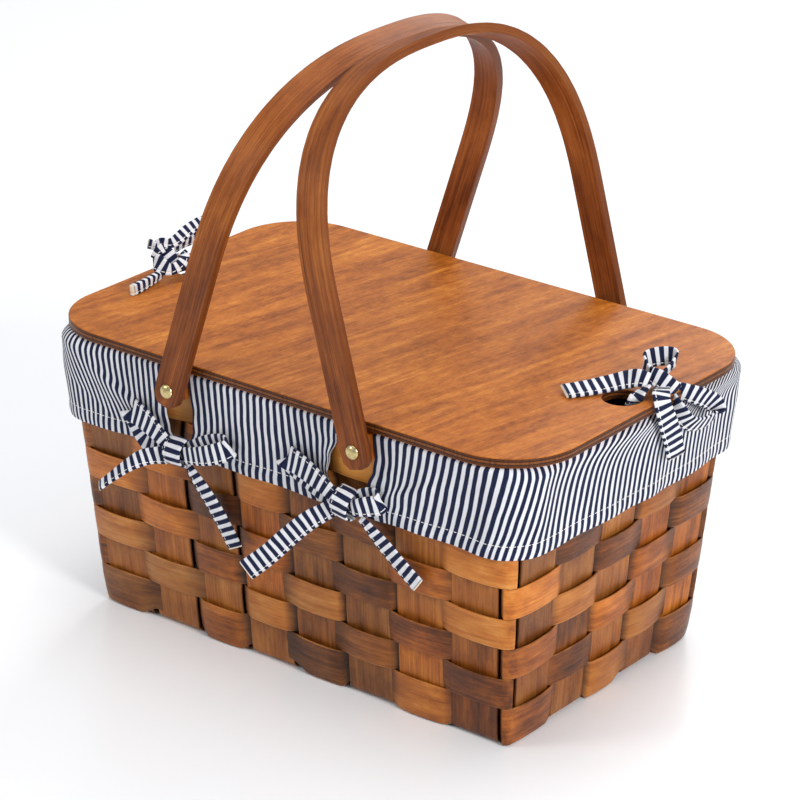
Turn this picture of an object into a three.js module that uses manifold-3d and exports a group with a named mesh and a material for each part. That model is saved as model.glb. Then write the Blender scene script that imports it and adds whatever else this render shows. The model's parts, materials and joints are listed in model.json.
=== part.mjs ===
import * as THREE from 'three';
import { mergeVertices } from 'three/addons/utils/BufferGeometryUtils.js';
import Module from 'manifold-3d';

const wasm = await Module();
wasm.setup();

// Driving dimensions in millimetres: X along the basket, -Y its front, Z up from the table
const baseLength = 340;
const baseWidth = 207;
const flareX = 0.07;
const flareY = 0.095;
const baseCorner = 8;
const cornerFlare = 0.06;
const cornerSteps = 3;
const fitGap = 0.3;
const restGap = 0.4;
const cutPast = 1;

// Woven wall: sides run front, right, back, left
const stakeCounts = [8, 5, 8, 5];
const stakeThickness = 1.5;
const stakeGap = 2.6;
const stakeBend = 5;
const bendSteps = 4;
const rowCount = 8;
const rowPitch = 22;
const rowGap = 0.5;
const firstRow = 6.8;
const footDip = 5.3;
const weaverThickness = 1.2;
const weaverBulge = 3;
const overShares = [-1, -0.45, 0.45, 1];
const underShares = [-1, 1];

// Rim bands, liner and lid
const rimHeight = 17.8;
const outerBand = 6;
const innerBand = 4;
const clothThickness = 1;
const bagGap = 0.55;
const lidOverhangX = 8.4;
const lidOverhangY = 1.8;
const lidThickness = 6.6;
const lidCorner = 50;
const lidEase = 0.6;
const lidArcSteps = 10;
const fingerHole = 26;
const fingerHoleInset = 22;

// Skirt of the liner, turned down over the rim and notched at the posts
const skirtDrop = 60.6;
const skirtDrawIn = 1.2;
const foldHeight = 1.1;
const foldPitch = 17;
const foldFade = 26;
const notchGap = 1.2;
const notchBelowPost = 20.8;
const notchTiedRise = 3;
const notchTiedHalf = 1;
const leftNotchOpening = { left: 15, right: 6.5 };
const rightNotchOpening = { left: 29, right: 6 };
const middleSteps = 12;
const endSteps = 6;

// Handles, posts and rivets
const rivetStake = 5;
const rivetEdge = 4.3;
const handleWidth = 20;
const handleThickness = 6.5;
const handleReach = 229.8;
const handleStraight = 95;
const archPower = 2.54;
const archSteps = 16;
const handleFoot = 11.5;
const footClip = 5;
const handleEase = 0.8;
const tipGap = 1;
const touchX = 4;
const postInset = 5.5;
const postDepth = 7.9;
const postToe = 4.5;
const postShoulderRise = 5;
const rivetRadius = 2.5;
const rivetHead = 5;
const rivetDome = 2.4;
const burrRadius = 4.5;
const burrThickness = 0.8;
const burrPocket = 2.2;
const peenRadius = 3.6;
const roundSides = 12;
const domeSteps = 3;

// Ribbon ties
const ribbonWidth = 14;
const ribbonWaist = 8;
const ribbonThickness = 1.2;
const loopDepth = 8;
const loopSteps = 10;
const tailSteps = 6;
const knotHalf = { along: 10, out: 6, up: 9 };
const knotSides = 8;
const knotRings = 6;
const sideKnotRise = 6;
const weaveClear = 3.5;
const lidKnotInset = 13;
const edgeClear = 2.5;
const fallingSpread = 5;

// Side bows: the knot's shift from its notch, loop tips as [along, up] and tail ends as [along, down]
const leftBow = { shift: -2, loops: [[-38, 17], [50, 14]], tails: [[-70, 42], [52, 56]] };
const rightBow = { shift: -14, loops: [[-43, 19], [38, 13]], tails: [[-80, 70], [60, 38]] };

// Lid bows: where each loop and tail reaches from its knot, with X pointing off the lid's end
const rightLidBow = {
  knotY: 26,
  standing: [-4, 4, 27],
  facing: [0.8, 0.6, 0],
  falling: [0, 36, -20],
  lying: [-37, -40],
  hanging: 44,
};
const leftLidBow = {
  knotY: 14,
  standing: [0, -28, 22],
  facing: [1, 0, 0],
  falling: [0, 22, 3],
  lying: [-20, 56],
  hanging: 16,
};

// Offsets from the stakes' middle surface and heights that follow from the stack of pieces
const halfStake = stakeThickness / 2;
const halfWeaver = weaverThickness / 2;
const halfCloth = clothThickness / 2;
const weaverStep = halfStake + fitGap + halfWeaver;
const bandStart = halfStake + fitGap;
const bagOffset = bandStart + innerBand + bagGap;
const skirtOffset = bandStart + outerBand + fitGap + halfCloth;
const rimBottom = firstRow + rowCount * rowPitch;
const rimTop = rimBottom + rimHeight;
const foldUnder = rimTop + restGap;
const lidBottom = foldUnder + clothThickness + restGap;
const lidTop = lidBottom + lidThickness;
const pivotZ = rimBottom + rimHeight / 2;
const postBottom = rimBottom;
const postShoulder = rimBottom + postShoulderRise;
const postTop = rimTop + fitGap;
const skirtBottom = rimTop - skirtDrop;
const notchClose = postBottom - notchBelowPost;
const notchTied = skirtBottom + notchTiedRise;
const sideKnotZ = skirtBottom + sideKnotRise;

// Half sizes of the stakes' middle surface at a height
const midX = (z) => baseLength / 2 - halfStake + flareX * z;
const midY = (z) => baseWidth / 2 - halfStake + flareY * z;

// Half sizes of a side: along it, out to its middle surface, and along its flat between the corners
const alongHalf = (side, z) => (side % 2 === 0 ? midX(z) : midY(z));
const outHalf = (side, z) => (side % 2 === 0 ? midY(z) : midX(z));
const wallCorner = (z) => baseCorner + cornerFlare * z;
const flatHalf = (side, z) => alongHalf(side, z) - wallCorner(z);

// Half sizes and places that follow from the wall; each rivet goes through a stake near its outer edge
const rivetSpan = stakeSpan(0, rivetStake);
const pivotX = (rivetSpan.middle + rivetSpan.half) * flatHalf(0, pivotZ) - rivetEdge;
const postWidth = handleWidth - 2 * postInset;
const postWall = (z) => midY(z) + bandStart + outerBand + fitGap;
const postFace = postWall(postTop) + postDepth;
const handleInside = postFace + restGap;
const handleOutside = handleInside + handleThickness;
const bandInside = midY(pivotZ) - bandStart - innerBand;
const shaftHole = rivetRadius + fitGap;
const lidHalfX = midX(rimTop) + skirtOffset + halfCloth + lidOverhangX;
const lidHalfY = midY(rimTop) + skirtOffset + halfCloth + lidOverhangY;
const fingerHoleX = lidHalfX - fingerHoleInset;
const sideKnotY = midY(sideKnotZ) + skirtOffset + halfCloth + fitGap + knotHalf.out;
const lidKnotX = lidHalfX - lidKnotInset;
const up = new THREE.Vector3(0, 0, 1);
const alongX = new THREE.Vector3(1, 0, 0);
const forward = new THREE.Vector3(0, -1, 0);

const wood = (color) => new THREE.MeshStandardMaterial({ color, roughness: 0.55, metalness: 0 });
const stakeWood = wood(0x8a5a30);
const weaverWood = wood(0xa06a38);
const rimWood = wood(0x7d4f2a);
const handleWood = wood(0x96582f);
const lidWood = wood(0xc07a40);
const brass = new THREE.MeshStandardMaterial({ color: 0xd2b878, roughness: 0.3, metalness: 1 });
const cloth = new THREE.MeshStandardMaterial({ color: 0x8c90a6, roughness: 0.9, metalness: 0 });

const basket = new THREE.Group();

function addPiece(parent, name, geometry, material) {
  const mesh = new THREE.Mesh(geometry, material);
  mesh.name = name;
  parent.add(mesh);
  return mesh;
}

// A closed body from points and triangles, turned so that its faces point out
function closedBody(points, triangles) {
  let volume = 0;
  for (let i = 0; i < triangles.length; i += 3) {
    const [a, b, c] = [0, 1, 2].map((k) => points[triangles[i + k]]);
    volume += a.dot(b.clone().cross(c));
  }
  const geometry = new THREE.BufferGeometry().setFromPoints(points);
  geometry.setIndex(volume < 0 ? triangles.reverse() : triangles);
  return geometry;
}

// A sheet with two faces and closed edges; rows run along it, and a wrapped sheet is a ring
function sheet(outer, inner, wrapped = false) {
  const rows = outer.length;
  const columns = outer[0].length;
  const triangles = [];
  const at = (layer, i, j) => (layer * rows + (i % rows)) * columns + j;
  const quad = (a, b, c, d) => triangles.push(a, b, c, a, c, d);
  const spans = wrapped ? rows : rows - 1;
  for (let i = 0; i < spans; i += 1) {
    for (let j = 0; j < columns - 1; j += 1) {
      quad(at(0, i, j), at(0, i + 1, j), at(0, i + 1, j + 1), at(0, i, j + 1));
      quad(at(1, i, j), at(1, i, j + 1), at(1, i + 1, j + 1), at(1, i + 1, j));
    }
    const last = columns - 1;
    quad(at(0, i, 0), at(1, i, 0), at(1, i + 1, 0), at(0, i + 1, 0));
    quad(at(0, i, last), at(0, i + 1, last), at(1, i + 1, last), at(1, i, last));
  }
  for (let j = 0; j < columns - 1 && !wrapped; j += 1) {
    const end = rows - 1;
    quad(at(0, 0, j), at(0, 0, j + 1), at(1, 0, j + 1), at(1, 0, j));
    quad(at(0, end, j), at(1, end, j), at(1, end, j + 1), at(0, end, j + 1));
  }
  return closedBody([...outer.flat(), ...inner.flat()], triangles);
}

// A body skinned over level outlines; a ring joins the last outline to the first, else both ends close
function skin(outlines, ring) {
  const count = outlines[0].length;
  const triangles = [];
  const spans = ring ? outlines.length : outlines.length - 1;
  for (let i = 0; i < spans; i += 1) {
    const low = i * count;
    const high = ((i + 1) % outlines.length) * count;
    for (let j = 0; j < count; j += 1) {
      const k = (j + 1) % count;
      triangles.push(low + j, low + k, high + k, low + j, high + k, high + j);
    }
  }
  const top = (outlines.length - 1) * count;
  for (let j = 1; j < count - 1 && !ring; j += 1) {
    triangles.push(0, j + 1, j, top, top + j, top + j + 1);
  }
  return closedBody(outlines.flat(), triangles);
}

function toSolid(geometry) {
  const bare = geometry.clone();
  bare.deleteAttribute('normal');
  bare.deleteAttribute('uv');
  const merged = mergeVertices(bare, 1e-4);
  const vertProperties = new Float32Array(merged.attributes.position.array);
  const triVerts = new Uint32Array(merged.index.array);
  return new wasm.Manifold(new wasm.Mesh({ numProp: 3, vertProperties, triVerts }));
}

function toGeometry(body) {
  const { vertProperties, triVerts } = body.getMesh();
  const geometry = new THREE.BufferGeometry();
  geometry.setAttribute('position', new THREE.BufferAttribute(vertProperties, 3));
  geometry.setIndex(new THREE.BufferAttribute(triVerts, 1));
  return geometry;
}

function cut(geometry, ...tools) {
  return toGeometry(tools.reduce((body, tool) => body.subtract(toSolid(tool)), toSolid(geometry)));
}

function join(...pieces) {
  return toGeometry(pieces.slice(1).reduce((body, piece) => body.add(toSolid(piece)), toSolid(pieces[0])));
}

// A point on a side, u from -1 to 1 along its flat, offset outward from the middle surface
function facePoint(side, u, z, offset) {
  const point = new THREE.Vector3(u * flatHalf(side, z), -outHalf(side, z) - offset, z);
  return point.applyAxisAngle(up, (side * Math.PI) / 2);
}

// A point on the round corner that follows a side, t from 0 to 1 round it
function cornerPoint(side, t, z, offset) {
  const angle = (t * Math.PI) / 2;
  const radius = wallCorner(z) + offset;
  const x = flatHalf(side, z) + radius * Math.sin(angle);
  const y = -(outHalf(side, z) - wallCorner(z)) - radius * Math.cos(angle);
  return new THREE.Vector3(x, y, z).applyAxisAngle(up, (side * Math.PI) / 2);
}

function outline(z, offset) {
  const points = [];
  for (let side = 0; side < stakeCounts.length; side += 1) {
    for (let i = 0; i <= cornerSteps; i += 1) points.push(cornerPoint(side, i / cornerSteps, z, offset));
  }
  return points;
}

// Middle and edges of a stake, as shares of its side's flat
function stakeSpan(side, index) {
  const count = stakeCounts[side];
  const middle = (2 * index + 1) / count - 1;
  const half = 1 / count - stakeGap / 2 / flatHalf(side, rimTop / 2);
  return { middle, half };
}

// A stake's path: out from the middle plane, height, and its face's turn from wall to floor
function stakePath(side, index) {
  const crossing = (side + 1) % 2;
  const crossings = stakeCounts[crossing];
  const level = (k) => halfStake + ((index + k + side) % 2 === 0 ? 0 : stakeThickness + fitGap);
  const wallToFloor = (height) => {
    const start = new THREE.Vector2(outHalf(side, height + stakeBend), height + stakeBend);
    const elbow = new THREE.Vector2(outHalf(side, height), height);
    const end = new THREE.Vector2(outHalf(side, height) - stakeBend, height);
    const points = new THREE.QuadraticBezierCurve(start, elbow, end).getPoints(bendSteps);
    return points.map((p, i) => ({ out: p.x, z: p.y, turn: i / bendSteps }));
  };
  const mirrored = (stations) => stations.map((s) => ({ ...s, out: -s.out })).reverse();
  const top = { out: outHalf(side, rimTop - fitGap), z: rimTop - fitGap, turn: 0 };
  const path = [top, ...wallToFloor(level(crossings - 1))];
  for (let k = crossings - 1; k >= 0; k -= 1) {
    const { middle, half } = stakeSpan(crossing, k);
    for (const edge of [middle + half, middle - half]) {
      path.push({ out: edge * flatHalf(crossing, 0), z: level(k), turn: 1 });
    }
  }
  return [...path, ...mirrored([top, ...wallToFloor(level(0))])];
}

// One stake: down a wall, woven through the floor and up the facing wall
function stake(side, index) {
  const { middle, half } = stakeSpan(side, index);
  const layer = (shift) => stakePath(side, index).map(({ out, z, turn }) => {
    const angle = (turn * Math.PI) / 2;
    const y = -out - Math.sign(out) * shift * Math.cos(angle);
    return [middle - half, middle + half].map((u) => {
      const point = new THREE.Vector3(u * flatHalf(side, z), y, z - shift * Math.sin(angle));
      return point.applyAxisAngle(up, (side * Math.PI) / 2);
    });
  });
  return sheet(layer(halfStake), layer(-halfStake));
}

// Stations of a weaver round the wall: where it is, and how far it stands off the middle surface
function weaverStations(row) {
  const stations = [];
  let count = 0;
  stakeCounts.forEach((stakes, side) => {
    for (let index = 0; index < stakes; index += 1) {
      const { middle, half } = stakeSpan(side, index);
      const over = (count + row) % 2 === 0;
      for (const share of over ? overShares : underShares) {
        const offset = over ? weaverStep + weaverBulge * (1 - share * share) : -weaverStep;
        stations.push({ point: (z, d) => facePoint(side, middle + share * half, z, d), offset });
      }
      count += 1;
    }
    const before = stations.at(-1).offset;
    for (let i = 0; i <= cornerSteps; i += 1) {
      const t = i / cornerSteps;
      const offset = before * Math.cos(t * Math.PI);
      stations.push({ point: (z, d) => cornerPoint(side, t, z, d), offset });
    }
  });
  return stations;
}

// The bottom weaver dips to the floor where it runs outside the stakes
function dipAt(offset) {
  return footDip * THREE.MathUtils.smoothstep(offset, -weaverStep, weaverStep);
}

function weaver(row) {
  const low = firstRow + row * rowPitch;
  const high = low + rowPitch - rowGap;
  const stations = weaverStations(row);
  const edges = ({ offset }) => [low - (row === 0 ? dipAt(offset) : 0), high];
  const layer = (shift) => stations.map((s) => edges(s).map((z) => s.point(z, s.offset + shift)));
  return sheet(layer(halfWeaver), layer(-halfWeaver), true);
}

function rimBand(inside, outside) {
  return skin([
    outline(rimBottom, outside),
    outline(rimTop, outside),
    outline(rimTop, inside),
    outline(rimBottom, inside),
  ], true);
}

// The hole of a rivet runs along Y through everything at one side of the basket
function rivetHole(x, radius, fromY, toY) {
  const hole = new THREE.CylinderGeometry(radius, radius, Math.abs(toY - fromY), roundSides);
  return hole.translate(x, (fromY + toY) / 2, pivotZ);
}

function rivetHoles(radius, fromY, toY) {
  const holes = [];
  for (const x of [-pivotX, pivotX]) {
    for (const side of [-1, 1]) holes.push(rivetHole(x, radius, side * fromY, side * toY));
  }
  return holes;
}

const wallHoles = () => rivetHoles(shaftHole, bandInside - innerBand, handleOutside);

function buildWall() {
  [0, 1].forEach((side) => {
    const label = side === 0 ? 'stake_cross' : 'stake_long';
    for (let index = 0; index < stakeCounts[side]; index += 1) {
      const { middle, half } = stakeSpan(side, index);
      const reach = pivotX / flatHalf(side, pivotZ);
      const beside = half + shaftHole / flatHalf(side, pivotZ);
      const riveted = side === 0 && Math.abs(Math.abs(middle) - reach) < beside;
      const geometry = stake(side, index);
      const name = `${label}_${index + 1}`;
      addPiece(basket, name, riveted ? cut(geometry, ...wallHoles()) : geometry, stakeWood);
    }
  });
  for (let row = 0; row < rowCount; row += 1) {
    addPiece(basket, `weaver_row_${row + 1}`, weaver(row), weaverWood);
  }
  const outer = cut(rimBand(bandStart, bandStart + outerBand), ...wallHoles());
  addPiece(basket, 'rim_outer_band', outer, rimWood);
  const pockets = rivetHoles(burrRadius + fitGap, bandInside - innerBand, bandInside + burrPocket);
  const inner = cut(rimBand(-bandStart - innerBand, -bandStart), ...wallHoles(), ...pockets);
  addPiece(basket, 'rim_inner_band', inner, rimWood);
}

// A post stands on the rim behind each end of a handle, its face square to the rivet
function post() {
  const section = new THREE.Shape([
    new THREE.Vector2(postWall(postTop), postTop),
    new THREE.Vector2(postWall(postBottom), postBottom),
    new THREE.Vector2(postWall(postBottom) + postToe, postBottom),
    new THREE.Vector2(postFace, postShoulder),
    new THREE.Vector2(postFace, postTop),
  ]);
  const geometry = new THREE.ExtrudeGeometry(section, { depth: postWidth, bevelEnabled: false });
  geometry.translate(0, 0, -postWidth / 2);
  geometry.applyMatrix4(new THREE.Matrix4().makeBasis(
    new THREE.Vector3(0, -1, 0),
    new THREE.Vector3(0, 0, 1),
    new THREE.Vector3(-1, 0, 0),
  ));
  return cut(geometry, rivetHole(0, shaftHole, 0, -handleOutside));
}

// A rivet: domed head outside, shank through handle, post and rim, peened over a burr inside
function rivet() {
  const headBase = handleOutside + fitGap;
  const peenBase = bandInside + burrPocket - 2 * fitGap - burrThickness;
  const profile = [];
  for (let i = 0; i <= domeSteps; i += 1) {
    const angle = (i / domeSteps) * (Math.PI / 2);
    profile.push(new THREE.Vector2(rivetHead * Math.sin(angle), headBase + rivetDome * Math.cos(angle)));
  }
  profile[0].x = 0;
  profile.push(new THREE.Vector2(rivetRadius, headBase));
  profile.push(new THREE.Vector2(rivetRadius, peenBase - fitGap));
  profile.push(new THREE.Vector2(peenRadius, peenBase - fitGap));
  profile.push(new THREE.Vector2(peenRadius - fitGap, peenBase - burrThickness));
  profile.push(new THREE.Vector2(0, peenBase - burrThickness));
  return new THREE.LatheGeometry(profile.reverse(), roundSides).rotateX(Math.PI).translate(0, 0, pivotZ);
}

function burr() {
  const seat = bandInside + burrPocket - fitGap;
  const ring = [
    new THREE.Vector2(shaftHole, seat - burrThickness),
    new THREE.Vector2(burrRadius, seat - burrThickness),
    new THREE.Vector2(burrRadius, seat),
    new THREE.Vector2(shaftHole, seat),
  ];
  ring.push(ring[0].clone());
  return new THREE.LatheGeometry(ring, roundSides).rotateX(Math.PI).translate(0, 0, pivotZ);
}

function buildPosts() {
  for (const [end, x] of [['left', -pivotX], ['right', pivotX]]) {
    for (const [face, turn] of [['front', 0], ['back', Math.PI]]) {
      const mount = new THREE.Group();
      mount.position.x = x;
      mount.rotation.z = turn;
      addPiece(mount, `post_${face}_${end}`, post(), handleWood);
      addPiece(mount, `rivet_${face}_${end}`, rivet(), brass);
      addPiece(mount, `rivet_burr_${face}_${end}`, burr(), brass);
      basket.add(mount);
    }
  }
}

// Half of an arch from the foot to the top: straight leg, then a squared-off round bend
function archHalf(halfWidth, top) {
  const points = [new THREE.Vector2(halfWidth, -handleFoot)];
  for (let i = 0; i <= archSteps; i += 1) {
    const angle = (i / archSteps) * (Math.PI / 2);
    const x = i === archSteps ? 0 : halfWidth * Math.cos(angle) ** (2 / archPower);
    const y = handleStraight + (top - handleStraight) * Math.sin(angle) ** (2 / archPower);
    points.push(new THREE.Vector2(x, y));
  }
  return points;
}

function mirrorHalf(half) {
  const other = half.slice(0, -1).reverse();
  return [...half, ...other.map((p) => new THREE.Vector2(-p.x, p.y))];
}

function handle() {
  const outer = mirrorHalf(archHalf(handleOutside, handleReach));
  const inner = mirrorHalf(archHalf(handleInside, handleReach - handleThickness));
  const geometry = new THREE.ExtrudeGeometry(new THREE.Shape([...outer, ...inner.reverse()]), {
    depth: handleWidth - 2 * handleEase,
    bevelThickness: handleEase,
    bevelSize: handleEase,
    bevelOffset: -handleEase,
    bevelSegments: 1,
  });
  geometry.translate(0, 0, handleEase - handleWidth / 2);
  geometry.applyMatrix4(new THREE.Matrix4().makeBasis(
    new THREE.Vector3(0, 1, 0),
    new THREE.Vector3(0, 0, 1),
    new THREE.Vector3(1, 0, 0),
  ));
  const through = 2 * (handleOutside + cutPast);
  const bore = new THREE.CylinderGeometry(shaftHole, shaftHole, through, roundSides);
  const clips = [-1, 1].map((side) => {
    const clip = new THREE.BoxGeometry(footClip * Math.SQRT2, through, footClip * Math.SQRT2);
    return clip.rotateY(Math.PI / 4).translate((side * handleWidth) / 2, 0, -handleFoot);
  });
  return cut(geometry, bore, ...clips);
}

// The handles lean in until their outer top edges almost touch, a little right of the middle
function handleLean(side) {
  const toTouch = pivotX - side * touchX - tipGap / 2;
  const span = Math.hypot(handleReach, handleWidth / 2);
  return Math.asin(toTouch / span) - Math.atan2(handleWidth / 2, handleReach);
}

function buildHandles() {
  for (const [end, side] of [['left', -1], ['right', 1]]) {
    const hinge = new THREE.Group();
    hinge.position.set(side * pivotX, 0, pivotZ);
    hinge.rotation.y = -side * handleLean(side);
    addPiece(hinge, `handle_${end}`, handle(), handleWood);
    basket.add(hinge);
  }
}

function lid() {
  const x = lidHalfX - lidCorner;
  const y = lidHalfY - lidCorner;
  const board = new THREE.Shape();
  board.absarc(x, y, lidCorner, 0, Math.PI / 2);
  board.absarc(-x, y, lidCorner, Math.PI / 2, Math.PI);
  board.absarc(-x, -y, lidCorner, Math.PI, 1.5 * Math.PI);
  board.absarc(x, -y, lidCorner, 1.5 * Math.PI, 2 * Math.PI);
  board.closePath();
  for (const side of [-1, 1]) {
    board.holes.push(new THREE.Path().absarc(side * fingerHoleX, 0, fingerHole / 2, 0, 2 * Math.PI, true));
  }
  const geometry = new THREE.ExtrudeGeometry(board, {
    depth: lidThickness - 2 * lidEase,
    bevelThickness: lidEase,
    bevelSize: lidEase,
    bevelOffset: -lidEase,
    bevelSegments: 1,
    curveSegments: lidArcSteps,
  });
  return geometry.translate(0, 0, lidBottom + lidEase);
}

// The liner's bag hangs inside the rim and stands on the woven floor
function linerBag() {
  const floor = 2 * stakeThickness + fitGap + restGap;
  return skin([
    outline(floor, -bagOffset),
    outline(foldUnder - fitGap, -bagOffset),
    outline(foldUnder - fitGap, -bagOffset - clothThickness),
    outline(floor + clothThickness, -bagOffset - clothThickness),
  ], false);
}

// Along the front, the edge of a notch at a height: clear of the post, then drawn to the knot that ties it
function notchEdge(rivetX, opening, tie, sign, z) {
  const open = Math.max(opening, postWidth / 2 + notchGap) * sign;
  const tied = tie + notchTiedHalf * sign;
  const share = THREE.MathUtils.smoothstep(z, notchTied, notchClose);
  return rivetX + THREE.MathUtils.lerp(tied, open, share);
}

const leftNotch = {
  left: (z) => notchEdge(-pivotX, leftNotchOpening.left, leftBow.shift, -1, z),
  right: (z) => notchEdge(-pivotX, leftNotchOpening.right, leftBow.shift, 1, z),
};
const rightNotch = {
  left: (z) => notchEdge(pivotX, rightNotchOpening.left, rightBow.shift, -1, z),
  right: (z) => notchEdge(pivotX, rightNotchOpening.right, rightBow.shift, 1, z),
};

// Across the skirt from its edge inside the rim to its hem: offset and height of its middle
function skirtSection() {
  const turn = { offset: skirtOffset, z: foldUnder + halfCloth, outward: 1, upward: 1 };
  const edge = { offset: -bagOffset - clothThickness, z: foldUnder + halfCloth, outward: 0, upward: 1 };
  const betweenNotch = (notchClose + notchTied) / 2;
  const betweenRim = (rimBottom + notchClose) / 2;
  const heights = [rimBottom, betweenRim, notchClose, betweenNotch, notchTied, skirtBottom];
  const hanging = heights.map((z) => {
    const drop = (rimBottom - z) / (rimBottom - skirtBottom);
    return { offset: skirtOffset - skirtDrawIn * drop, z, outward: 1, upward: 0, drop };
  });
  return [edge, turn, ...hanging];
}

// Soft folds beside a notch, deeper toward the hem, fading away from it
function foldAt(fromNotch, drop = 0) {
  const wave = 0.5 - 0.5 * Math.cos((2 * Math.PI * fromNotch) / foldPitch);
  return foldHeight * wave * drop * Math.exp(-fromNotch / foldFade);
}

// Skirt over stations of { at(z, offset), fromNotch }
function skirtPanel(stations) {
  const layer = (sign) => stations.map(({ at, fromNotch }) => skirtSection().map((s) => {
    const offset = s.offset + foldAt(fromNotch, s.drop) + sign * halfCloth * s.outward;
    const point = at(s.z, offset);
    point.z += sign * halfCloth * s.upward;
    return point;
  }));
  return sheet(layer(1), layer(-1));
}

function middleStations() {
  const stations = [];
  for (let i = 0; i <= middleSteps; i += 1) {
    const share = i / middleSteps;
    const x = (z) => THREE.MathUtils.lerp(leftNotch.right(z), rightNotch.left(z), share);
    const at = (z, offset) => facePoint(0, x(z) / flatHalf(0, z), z, offset);
    stations.push({ at, fromNotch: (1 - Math.abs(2 * share - 1)) * pivotX });
  }
  return stations;
}

// From a notch's edge on the front round the corner to the right end
function halfEndStations(edge) {
  const stations = [];
  for (let i = 0; i <= endSteps; i += 1) {
    const share = i / endSteps;
    const x = (z) => THREE.MathUtils.lerp(edge(z), flatHalf(0, z), share);
    const fromNotch = share * (flatHalf(0, notchClose) - pivotX);
    stations.push({ at: (z, offset) => facePoint(0, x(z) / flatHalf(0, z), z, offset), fromNotch });
  }
  for (let i = 1; i <= cornerSteps; i += 1) {
    const at = (z, offset) => cornerPoint(0, i / cornerSteps, z, offset);
    stations.push({ at, fromNotch: flatHalf(0, notchClose) });
  }
  return stations;
}

// From the front notch round one end of the basket to the back notch, which is the left one turned half round
function endStations() {
  const front = halfEndStations(rightNotch.right);
  const back = halfEndStations((z) => -leftNotch.left(z));
  const mirrorY = ({ at, fromNotch }) => ({
    at: (z, offset) => at(z, offset).multiply(new THREE.Vector3(1, -1, 1)),
    fromNotch,
  });
  return [...front, ...back.map(mirrorY).reverse()];
}

function buildLiner() {
  addPiece(basket, 'liner_bag', linerBag(), cloth);
  addPiece(basket, 'skirt_front', skirtPanel(middleStations()), cloth);
  addPiece(basket, 'skirt_right', skirtPanel(endStations()), cloth);
  addPiece(basket, 'skirt_back', skirtPanel(middleStations()).rotateZ(Math.PI), cloth);
  addPiece(basket, 'skirt_left', skirtPanel(endStations()).rotateZ(Math.PI), cloth);
}

// A flat ribbon along a curve, its face turned toward facing
function ribbon(points, facing) {
  const curve = new THREE.CatmullRomCurve3(points);
  const layer = (sign) => curve.getPoints(tailSteps).map((p, i) => {
    const tangent = curve.getTangent(i / tailSteps);
    const across = facing.clone().cross(tangent).normalize();
    const face = tangent.clone().cross(across).normalize();
    const middle = p.clone().addScaledVector(face, (sign * ribbonThickness) / 2);
    const half = THREE.MathUtils.lerp(ribbonWaist, ribbonWidth, Math.min(1, i / 2)) / 2;
    return [-half, half].map((w) => middle.clone().addScaledVector(across, w));
  });
  return sheet(layer(1), layer(-1));
}

// A ribbon loop from the knot to its tip, its two layers parted along depth
function ribbonLoop(tip, depth, spread = loopDepth) {
  const reach = tip.clone().normalize();
  const across = depth.clone().cross(reach).normalize();
  const layer = (sign) => {
    const rows = [];
    for (let i = 0; i < loopSteps; i += 1) {
      const angle = (2 * Math.PI * i) / loopSteps;
      const out = tip.length() / 2 - (tip.length() / 2 + (sign * ribbonThickness) / 2) * Math.cos(angle);
      const apart = (spread / 2 + (sign * ribbonThickness) / 2) * Math.sin(angle);
      const half = THREE.MathUtils.lerp(ribbonWaist, ribbonWidth, (1 - Math.cos(angle)) / 2) / 2;
      const middle = reach.clone().multiplyScalar(out).addScaledVector(depth, apart);
      rows.push([-half, half].map((w) => middle.clone().addScaledVector(across, w)));
    }
    return rows;
  };
  return sheet(layer(1), layer(-1), true);
}

function knot(along, out, rise) {
  return new THREE.SphereGeometry(1, knotSides, knotRings).scale(along, out, rise);
}

// A side tail falls from the knot to the weave, which lies further in the lower it goes
function sideTail(along, drop) {
  const weaveOut = weaverStep + halfWeaver + weaverBulge + weaveClear;
  const at = (x, z) => new THREE.Vector3(x, sideKnotY - midY(sideKnotZ - z) - weaveOut, -z);
  const start = new THREE.Vector3(0, 0, 0);
  const bend = new THREE.Vector3(along * 0.3, 0, -drop * 0.25);
  return ribbon([start, bend, at(along * 0.7, drop * 0.65), at(along, drop)], forward);
}

// A bow at a notch of the skirt
function sideBow({ loops, tails }) {
  const loopPieces = loops.map(([along, rise]) => ribbonLoop(new THREE.Vector3(along, 0, rise), forward));
  const tailPieces = tails.map(([along, drop]) => sideTail(along, drop));
  return join(knot(knotHalf.along, knotHalf.out, knotHalf.up), ...loopPieces, ...tailPieces);
}

// The bows at the back are those at the front, turned half round
function buildSideBows() {
  const places = [
    { front: 'front_left', back: 'back_right', notch: -pivotX, bow: leftBow },
    { front: 'front_right', back: 'back_left', notch: pivotX, bow: rightBow },
  ];
  for (const { front, back, notch, bow } of places) {
    const x = notch + bow.shift;
    addPiece(basket, `bow_${front}`, sideBow(bow), cloth).position.set(x, -sideKnotY, sideKnotZ);
    const turned = addPiece(basket, `bow_${back}`, sideBow(bow), cloth);
    turned.position.set(-x, sideKnotY, sideKnotZ);
    turned.rotation.z = Math.PI;
  }
}

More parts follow.
